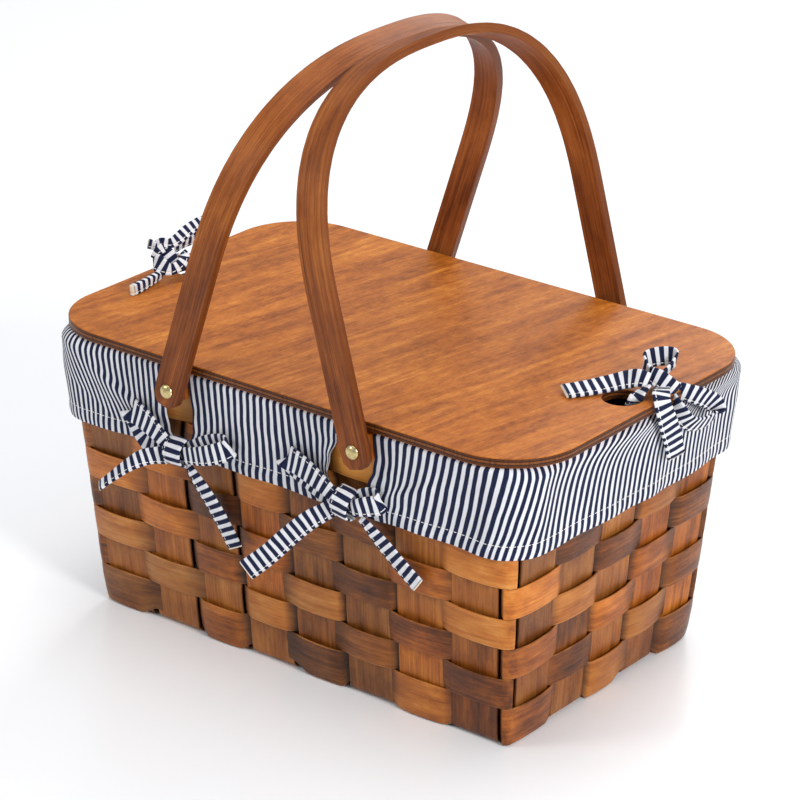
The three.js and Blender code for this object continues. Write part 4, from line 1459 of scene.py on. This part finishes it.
def makePanel(name, stations, seamColumn=None):
    place = skirtPlaces(stations, seamColumn, skirt["drags"].get(name))
    down = waysAlong(section)
    begin = chance(len(name)) * skirt["stripeShift"]
    ways = [0.0]
    for a, b in zip(stations, stations[1:]):
        ways.append(ways[-1] + (b.flat - a.flat) * gatherAt(b))

    def uvAt(column, row, faceColumn):
        # v is measured up from the hem for the stitches
        jump = skirt["seamJump"] if seamColumn is not None and faceColumn >= seamColumn else 0.0
        return ways[column] + begin + jump, down[-1] - down[row]

    sheet = clothGrid(name + "_cloth", len(stations) - 1, len(section) - 1, place, uvAt)
    inside = sheet.data.polygons[len(sheet.data.polygons) // 2]
    if inside.normal.dot(inside.center) < 0:
        sheet.data.flip_normals()
    thicken(sheet, skirt["thickness"])
    fitIn(sheet, "basket", "ticking cloth", skirtFinish, name)


def middlePanel(side):
    return flatStations(side, topEdge("left", 1), topEdge("right", -1), ("left", "right"), 0.0)


def endPanel(side):
    # round one end of the basket: part of a long side, the end, part of the other long side
    before = (side - 1) % 4
    after = (side + 1) % 4
    endHalf = flatHalf(side, skirt["midHeight"])
    longHalf = flatHalf(before, skirt["midHeight"])
    first = flatStations(before, topEdge("right", 1), longHalf, ("right",), 0.0)
    turn1, turnLength = cornerStations(before, first[-1].flat)
    second = flatStations(side, -endHalf, endHalf, (), first[-1].flat + turnLength)
    turn2, turnLength = cornerStations(side, second[-1].flat)
    third = flatStations(after, -longHalf, topEdge("left", -1), ("left",), second[-1].flat + turnLength)
    return first + turn1 + second + turn2 + third, len(first) + len(turn1) // 2


makePanel("skirt_front", middlePanel(0))
makePanel("skirt_back", middlePanel(2))
makePanel("skirt_right", *endPanel(1))
makePanel("skirt_left", *endPanel(3))
print("skirt panels draped")


# the bag inside

bag = {
    "thickness": 0.0009, "offset": -0.0056, "floor": 0.0062, "top": 0.2008, "columnStep": 0.0042,
    "wallStep": 0.006, "bend": 0.010, "bendSteps": 6, "cornerColumns": 8,
    # the rings over the floor, as shares of the basket's size, down to the middle one
    "floorShare": 0.925, "floorSteps": 14, "middleShare": 0.02, "flatBelow": 0.95, "liftBelow": 0.9,
    "sag": 0.0016, "sagBelow": 0.19, "sagFrom": 0.2, "sagOver": 0.03, "lift": 0.0008,
    "weld": 0.00001, "floorZone": 0.05, "wallHeight": 0.2, "spareCloth": 1.03,
}


def makeBag():
    # rings from the top edge down the wall and in over the floor
    levels = []
    z = bag["top"]
    while z > bag["floor"] + bag["bend"]:
        levels.append((1.0, z))
        z -= bag["wallStep"]
    for step in range(1, bag["bendSteps"] + 1):
        angle = math.pi / 2 * step / bag["bendSteps"]
        levels.append((mix(bag["floorShare"], 1.0, math.cos(angle)),
                       bag["floor"] + bag["bend"] * (1 - math.sin(angle))))
    for step in range(1, bag["floorSteps"] + 1):
        share = bag["floorShare"] * (1 - step / bag["floorSteps"]) + bag["middleShare"]
        levels.append((share, bag["floor"]))
    stations = []
    for side in range(4):
        count = round(2 * flatHalf(side, wall["midHeight"]) / bag["columnStep"])
        for n in range(count + 1):
            stations.append((side, "flat", -1 + 2 * n / count))
        for n in range(1, bag["cornerColumns"]):
            stations.append((side, "corner", n / bag["cornerColumns"]))

    def place(column, row):
        share, z = levels[row]
        out = bag["offset"]
        if z < bag["sagBelow"]:
            sag = bag["sag"] * abs(wander(column * 0.16, row * 0.12, 4.0))
            out -= sag * smoothStep((bag["sagFrom"] - z) / bag["sagOver"])
        p = wallPoint(*stations[column % len(stations)], z, out)
        if share < bag["liftBelow"]:
            p.z += bag["lift"] * (1 + wander(column * 0.2, row * 0.5, 9.0))
        return Vector((p.x * share, p.y * share, p.z))

    around = waysAlong([place(column, 0) for column in range(len(stations) + 1)])
    down = waysAlong([place(0, row) for row in range(len(levels))])

    def uvAt(column, row, faceColumn):
        if levels[row][0] < bag["flatBelow"]:
            return place(column, row).xy
        return around[column], down[row]

    sheet = clothGrid("liner_bag_cloth", len(stations), len(levels) - 1, place, uvAt)
    editAll(sheet, bpy.ops.mesh.remove_doubles, threshold=bag["weld"])
    bpy.ops.object.mode_set(mode="EDIT")
    bpy.ops.mesh.select_all(action="DESELECT")
    bpy.ops.mesh.select_non_manifold()
    bpy.ops.object.mode_set(mode="OBJECT")
    inner = {v.index for v in sheet.data.vertices if v.select and v.co.z < bag["floorZone"]}
    selectEdges(sheet, lambda a, b: a.index in inner and b.index in inner)
    bpy.ops.object.mode_set(mode="EDIT")
    bpy.ops.mesh.select_mode(type="EDGE")
    bpy.ops.mesh.edge_face_add()
    bpy.ops.object.mode_set(mode="OBJECT")
    editAll(sheet, bpy.ops.mesh.normals_make_consistent, inside=True)
    area = sum(p.area for p in sheet.data.polygons)
    thicken(sheet, bag["thickness"])
    fitIn(sheet, "basket", "ticking cloth", bagFinish, "liner_bag")


makeBag()
print("bag hung")


# ribbons: strips of ticking along a path

ribbon = {"thickness": 0.0018, "step": 0.0015, "columns": 6, "gather": 1.06, "samples": 40, "crease": 0.0004}


def smoothPath(points, count):
    # even samples of a smooth curve through the given points
    def at(t):
        last = len(points) - 1
        k = min(int(t), last - 1)
        f = t - k
        p0 = points[max(0, k - 1)]
        p1 = points[k]
        p2 = points[k + 1]
        p3 = points[min(last, k + 2)]
        return 0.5 * ((2 * p1) + (p2 - p0) * f + (2 * p0 - 5 * p1 + 4 * p2 - p3) * f * f
                      + (3 * p1 - p0 - 3 * p2 + p3) * f * f * f)
    return [at((len(points) - 1) * n / count) for n in range(count + 1)]


def makeRibbon(name, part, points, across, seed):
    # points and across vectors in metres, one entry for each control point of the part
    widths = [w * mm for w in part["width"]]
    if part.get("closed"):
        points = points + points[:1]
        across = across + across[:1]
        widths = widths + widths[:1]
    samples = ribbon["samples"] * len(points)
    places = smoothPath(points, samples)
    rails = smoothPath(across, samples)
    wide = [v.x for v in smoothPath([Vector((w, 0, 0)) for w in widths], samples)]
    ways = waysAlong(places)
    total = ways[-1]
    count = max(6, round(total / ribbon["step"]))
    steps = stepsAlong(ways, count)
    middles = [places[k].lerp(places[k + 1], f) for k, f in steps]
    tangents = tangentsOf(middles)
    rows = ribbon["columns"]

    def widthAt(column):
        k, f = steps[column]
        return mix(wide[k], wide[k + 1], f)

    def place(column, row):
        k, f = steps[column]
        tangent = tangents[column]
        rail = rails[k].lerp(rails[k + 1], f)
        rail = (rail - tangent * rail.dot(tangent)).normalized()
        t = row / rows * 2 - 1
        crease = ribbon["crease"] * wander(column * 0.12 + seed, t * 1.4, seed)
        return middles[column] + rail * (t * widthAt(column) / 2) + tangent.cross(rail) * crease

    def uvAt(column, row, faceColumn):
        u = ribbon["gather"] * total * column / count + seed * 0.011 + part.get("phase", 0) * mm
        return u, widthAt(column) * row / rows

    sheet = clothGrid(name, count, rows, place, uvAt)
    if part.get("raw"):
        raw = sheet.data.attributes["raw"].data
        for k in range(len(raw)):
            raw[k].value = 1.0 if k % (count + 1) == count else 0.0
    thicken(sheet, part.get("thick", 0) * mm or ribbon["thickness"], 1)
    return sheet, total, max(widths)


def joinBow(name, body, node, pieces):
    deselectAll()
    for sheet, length, width in pieces:
        sheet.select_set(True)
    bow = pieces[0][0]
    bpy.context.view_layer.objects.active = bow
    bpy.ops.object.join()
    bow.name = name
    fitIn(bow, body, "ticking cloth", ribbonFinish, node)


# side bows, in millimetres from the CAD knot: along, up, out from the knot's plane

bowSpots = {"left": (-0.07798, 0.146), "right": (0.06198, 0.146)}
bowPlane = 0.1313
# on the back the tails lie close, clear of the handles
closeTails = {"from": 4, "share": 0.35, "acrossShare": 0.2}
bowLeft = {
    "wrap": {"points": [(1, -10.5, -1), (1, -7, 6), (1, -1, 8.5), (1, 5, 6.5), (1, 8.5, 0), (1, 5, -4),
            (1, -1, -4.6), (1, -7, -4)],
        "across": [(1, 0, 0)] * 8,
        "width": [14.5] * 8, "closed": True},
    "loopNear": {"points": [(-4.5, 1.5, 3), (-13, 9, 4.6), (-25, 14.5, 3), (-38.5, 17.5, .6),
            (-40.6, 14, -1.6), (-36, 5.5, -2.4), (-28.5, -2, -1.5), (-16.5, -4.5, -1), (-8, -3.5, -1)],
        "across": [(-.5, -.86, 0), (-.56, -.82, 0), (-.66, -.75, 0), (-.72, -.69, 0), (-.74, -.68, 0),
            (-.7, -.72, 0), (-.62, -.78, 0), (-.54, -.84, 0), (-.5, -.86, 0)],
        "width": [10, 13, 16, 17, 17, 16, 15, 13, 12], "phase": 3},
    "tailNear": {"points": [(-7, -4.5, 4), (-16.5, -6.5, 7), (-25.5, -10.5, 9), (-33.5, -16.5, 12),
            (-41, -23.5, 16), (-50, -32.5, 22)],
        "across": [(0, 1, 0), (.05, 1, .05), (.05, .9, -.3), (-.05, .75, -.6), (-.15, .6, -.75),
            (-.3, .45, -.8)],
        "width": [13, 12, 11, 11, 11, 11], "raw": True},
    "loopFar": {"points": [(7.5, -.5, 4), (26.5, 5.5, 8), (39, 10.5, 7.5), (46, 14, 5.5), (46.5, 15.5, 3),
            (39, 15, 0), (25, 10.5, -1), (9.5, 2.5, -1), (.5, -2, -1)],
        "across": [(0, 1, 0), (-.2, .98, -.1), (-.45, .89, -.1), (-.62, .78, -.1), (-.62, .78, 0),
            (-.6, .8, 0), (-.4, .9, 0), (-.2, .98, 0), (0, 1, 0)],
        "width": [11, 13, 14, 14, 14, 14, 13, 11, 9], "phase": 3},
    "tailFar": {"points": [(6.5, -7, 0), (11.5, -13.5, -1), (19.5, -24.5, -3), (29.5, -40.5, -6),
            (41, -61.5, -9)],
        "across": [(.8, .6, 0), (.8, .6, .05), (.8, .6, .1), (.8, .6, .1), (.8, .6, .1)],
        "width": [5, 8, 12, 13, 13.5], "raw": True},
}
bowRight = {
    "wrap": {"points": [(-1.5, -7, -1), (-1, -4, 6), (0, 3.5, 9), (1.5, 10.5, 6.5), (2, 13.5, 0),
            (1.5, 10, -4), (0, 3.5, -4.6), (-1, -4, -4)],
        "across": [(1, -.16, 0)] * 8,
        "width": [13.5] * 8, "closed": True},
    "loopNear": {"points": [(-6.5, 6, 3), (-16.5, 12.5, 4.5), (-31, 18.5, 3.5), (-46, 21, 1),
            (-48.5, 17, -2), (-36, 11, -2), (-22, 4, -1.5), (-9.5, 0, -1)],
        "across": [(-.5, -.86, 0), (-.55, -.83, 0), (-.62, -.78, 0), (-.68, -.73, 0), (-.68, -.73, 0),
            (-.62, -.78, 0), (-.55, -.83, 0), (-.5, -.86, 0)],
        "width": [10, 13, 16, 16, 16, 15, 13, 11], "phase": 3},
    "loopFar": {"points": [(5, 3, 4), (13.5, 5.6, 6.2), (20.5, 8, 5), (27, 10.2, 3.6), (28, 12, 1.4),
            (23.5, 13.2, -.4), (15.5, 11.6, -1.4), (7, 8, -1), (0, 4.5, -1)],
        "across": [(0, 1, 0), (-.2, .98, 0), (-.4, .9, .1), (-.58, .8, .1), (-.58, .8, 0), (-.5, .86, 0),
            (-.3, .95, 0), (-.1, 1, 0), (0, 1, 0)],
        "width": [9, 12, 13.5, 13.5, 13, 12.5, 11.5, 10, 9], "phase": 0.4},
    "tailNear": {"points": [(-7, -.5, 4), (-15, -6.5, 6), (-24, -13.5, 9), (-36, -26, 13), (-49, -41, 18),
            (-63.5, -55, 23)],
        "across": [(-.3, .95, 0), (-.45, .89, .05), (-.58, .81, .1), (-.66, .75, .12), (-.68, .72, .15),
            (-.68, .71, .15)],
        "width": [11, 12, 13, 13.5, 14, 14.5], "raw": True},
    "tailFar": {"points": [(10.5, -4.5, 0), (15.5, -8.5, -1), (24, -17.5, -3.5), (36.5, -29.5, -6),
            (52, -41.5, -7)],
        "across": [(.6, .8, .1), (.6, .8, .1), (.6, .8, .12), (.6, .8, .15), (.6, .8, .15)],
        "width": [5, 7, 11, 13, 13.5], "raw": True},
}


def sideBow(node, spot, layout, halfTurn):
    side = 2 if halfTurn else 0
    pieces = []
    for number, (name, part) in enumerate(layout.items()):
        lies = halfTurn and name.startswith("tail")
        points = []
        for along, up, out in part["points"]:
            if lies and out > closeTails["from"]:
                out = closeTails["from"] - closeTails["share"] * (out - closeTails["from"])
            points.append(turned((spot[0] + along * mm, -bowPlane - out * mm, spot[1] + up * mm), side))
        flatten = closeTails["acrossShare"] if lies else 1
        across = [turned((along, -out * flatten, up), side) for along, up, out in part["across"]]
        pieces.append(makeRibbon(node + "_" + name, part, points, across, number + spot[0] * 40))
    joinBow(node + "_cloth", "basket", node, pieces)


sideBow("bow_front_left", bowSpots["left"], bowLeft, False)
sideBow("bow_front_right", bowSpots["right"], bowRight, False)
sideBow("bow_back_right", bowSpots["left"], bowLeft, True)
sideBow("bow_back_left", bowSpots["right"], bowRight, True)
print("side bows tied")


# lid bows, in millimetres from the knot: x, y, z

lidBowRight = {
    "knot": (187, 27, 215), "axes": ((1, 0, 0), (0, 1, 0), (0, 0, 1)),
    "wrap": {"points": [(-2, -7, 5), (4, -7, 4), (9, -5, 1), (13, -0.5, -4), (9, 4, -5), (3, 4, -3),
            (-2, 0, 0)],
        "across": [(.55, .45, .7), (.5, .5, .7), (.45, .5, .7), (.4, .55, .7), (.4, .55, .7),
            (.45, .5, .7), (.5, .5, .7)],
        "width": [11, 12, 12, 11, 10, 10, 10], "closed": True},
    "standing": {"points": [(-1, -.5, 3), (-8, -1, 5.5), (-13, 2.5, 8), (-10.5, 8.5, 9.5),
            (-4, 14.5, 10.5), (2, 15.5, 10.5), (3, 9.5, 7), (2, 2.5, 3.5)],
        "across": [(.3, -.35, .89), (.2, -.25, .95), (0, .1, 1), (-.15, .2, .97), (-.15, .2, .97),
            (.1, .1, .98), (.3, -.2, .93), (.3, -.35, .89)],
        "width": [7, 9, 11.5, 12.5, 12.5, 11.5, 9, 7]},
    "lying": {"points": [(1.5, -12, 3), (-5, -14, 4), (-13, -15, 1.5), (-21, -21.5, -1),
            (-28.5, -32.5, -2.5), (-39.5, -48, -3.5)],
        "across": [(-.43, .56, .71), (-.45, .58, .68), (-.52, .68, .52), (-.55, .72, .42),
            (-.58, .75, .32), (-.59, .77, .24)],
        "width": [10, 12, 14, 14, 14, 14], "raw": True, "thick": 2.6},
    "leg": {"points": [(-6.5, -20.5, -12), (-1, -24.5, -6), (.5, -20.5, -2), (3, -14, 2)],
        "across": [(.8, .4, .3), (.75, .4, .4), (.7, .4, .5), (.6, .4, .6)],
        "width": [9, 10, 10, 9]},
    "hanging": {"points": [(6, -4, -2), (14, -18, -1), (18, -20, -9), (19, -15, -21.5), (19, -9.5, -33.5),
            (19, -5, -46.5)],
        "across": [(.35, .93, 0)] * 6,
        "width": [9, 12, 13, 14, 14, 14], "raw": True},
    "falling": {"points": [(5, 3.5, -4.5), (13, 7.5, -7), (19, 17, -11.5), (21, 30, -19), (21, 37.5, -28),
            (20, 30, -32.5), (19, 17.5, -31.5), (18.5, 5.5, -25), (16, -1, -15), (9, 0, -8)],
        "across": [(.25, .1, .96), (.25, .1, .96), (.28, .05, .95), (.35, 0, .92), (.45, -.1, .88),
            (.5, -.1, .85), (.5, -.1, .85), (.5, -.1, .85), (.4, 0, .9), (.3, .1, .95)],
        "width": [9, 12, 13, 13, 13, 13, 13, 12, 11, 9]},
}
# the left bow faces the front right corner: along the bow, up, and out from its face
bowFace = ((0.793, 0.609, 0.0), (-0.238, 0.309, 0.921), (0.561, -0.730, 0.390))
lidBowLeft = {
    "knot": (-180.5, -22.5, 222.9), "axes": bowFace,
    "wrap": {"points": [(-9.8, -2.5, -1), (-9, -3, 3), (-6, -4.8, 6), (-2, -7.4, 7.5), (2, -8.6, 7.5),
            (6, -6.8, 6), (9.8, -3.4, 4), (11.3, 1, 1), (9, 4, -2)],
        "across": [(0, 1, 0), (.05, 1, 0), (.2, .97, 0), (.2, .97, 0), (0, 1, 0), (-.45, .89, 0),
            (-.68, .73, 0), (-.97, .2, 0), (-.7, -.7, 0)],
        "width": [11, 12, 12, 10, 8, 7.5, 7.5, 7, 6]},
    "crossing": {"points": [(1, 8, 1.5), (-3.5, 6.2, 4), (-7.5, 3, 4.5), (-9.8, -1, 2)],
        "across": [(-.35, .93, 0), (-.5, .86, 0), (-.7, .7, 0), (-.9, .4, 0)],
        "width": [6, 6.5, 6, 5]},
    "fold": {"points": [(-5, 6, .5), (-1.8, 2.6, 3), (1.5, -1.5, 3.5), (4.8, -5.6, 2)],
        "across": [(.75, .66, 0)] * 4,
        "width": [9, 11, 11, 9]},
    "loop": {"points": [(-9, 8, 0), (-4.5, 10.3, 3), (-.5, 9.2, 3.5), (3.5, 10.5, 2), (8, 14.5, -2),
            (13, 19.5, -7), (18, 23.3, -12), (22.5, 26, -17), (24, 23, -20), (20, 17.5, -17),
            (14.5, 12.5, -12), (9, 9.5, -7), (4, 5.5, -3)],
        "across": [(-.3, .95, 0), (0, 1, 0), (.1, 1, 0), (-.45, .89, 0), (-.62, .78, 0), (-.66, .75, 0),
            (-.66, .75, 0), (-.66, .75, 0), (-.5, .6, .6), (-.3, .5, .8), (-.25, .45, .85),
            (-.25, .45, .85), (-.25, .5, .8)],
        "width": [6, 6.5, 6.5, 7.5, 8.5, 8.5, 8.5, 8.5, 8, 8, 8, 7.5, 6]},
    "stub": {"points": [(-6, 6.5, 1), (-10, 8, 0), (-14.5, 9.5, -1)],
        "across": [(-.2, .97, .1), (-.25, .95, .2), (-.3, .9, .3)],
        "width": [5, 6.5, 8], "raw": True},
    "lying": {"points": [(-3.5, -9.5, 2), (-7, -13, 6), (-13.5, -18, 17), (-22.5, -23.8, 30)],
        "across": [(.6, .7, 0), (.45, .85, 0), (.2, .97, 0), (.1, .99, 0)],
        "width": [6, 7, 7.5, 8], "raw": True, "thick": 4.4},
    "leg": {"points": [(4, 2, -2), (11, -1, -8), (14.5, -5, -15), (15.7, -10, -22)],
        "across": [(.9, .1, .3), (.9, .1, .3), (.9, .1, .4), (.9, .1, .4)],
        "width": [8, 8, 9, 9]},
    "hanging": {"points": [(4.4, -5.3, -12.9), (3.4, -.5, -25.5), (-1.4, .7, -31.7), (-4, -2.1, -35.7),
            (-6.3, -7.2, -40.5)],
        "across": [(.61, .31, -.73)] * 5,
        "width": [8, 9, 10, 10, 10], "raw": True},
}


def lidBow(node, layout):
    knot = Vector(layout["knot"]) * mm
    turn = Matrix(layout["axes"]).transposed()
    pieces = []
    for number, (name, part) in enumerate(layout.items()):
        if name in ("knot", "axes"):
            continue
        points = [knot + turn @ Vector(p) * mm for p in part["points"]]
        across = [turn @ Vector(a) for a in part["across"]]
        pieces.append(makeRibbon(node + "_" + name, part, points, across, number + 3.0))
    joinBow(node + "_cloth", "lid", node, pieces)


lidBow("bow_lid_right", lidBowRight)
lidBow("bow_lid_left", lidBowLeft)
print("lid bows tied")


deselectAll()
bpy.context.view_layer.update()
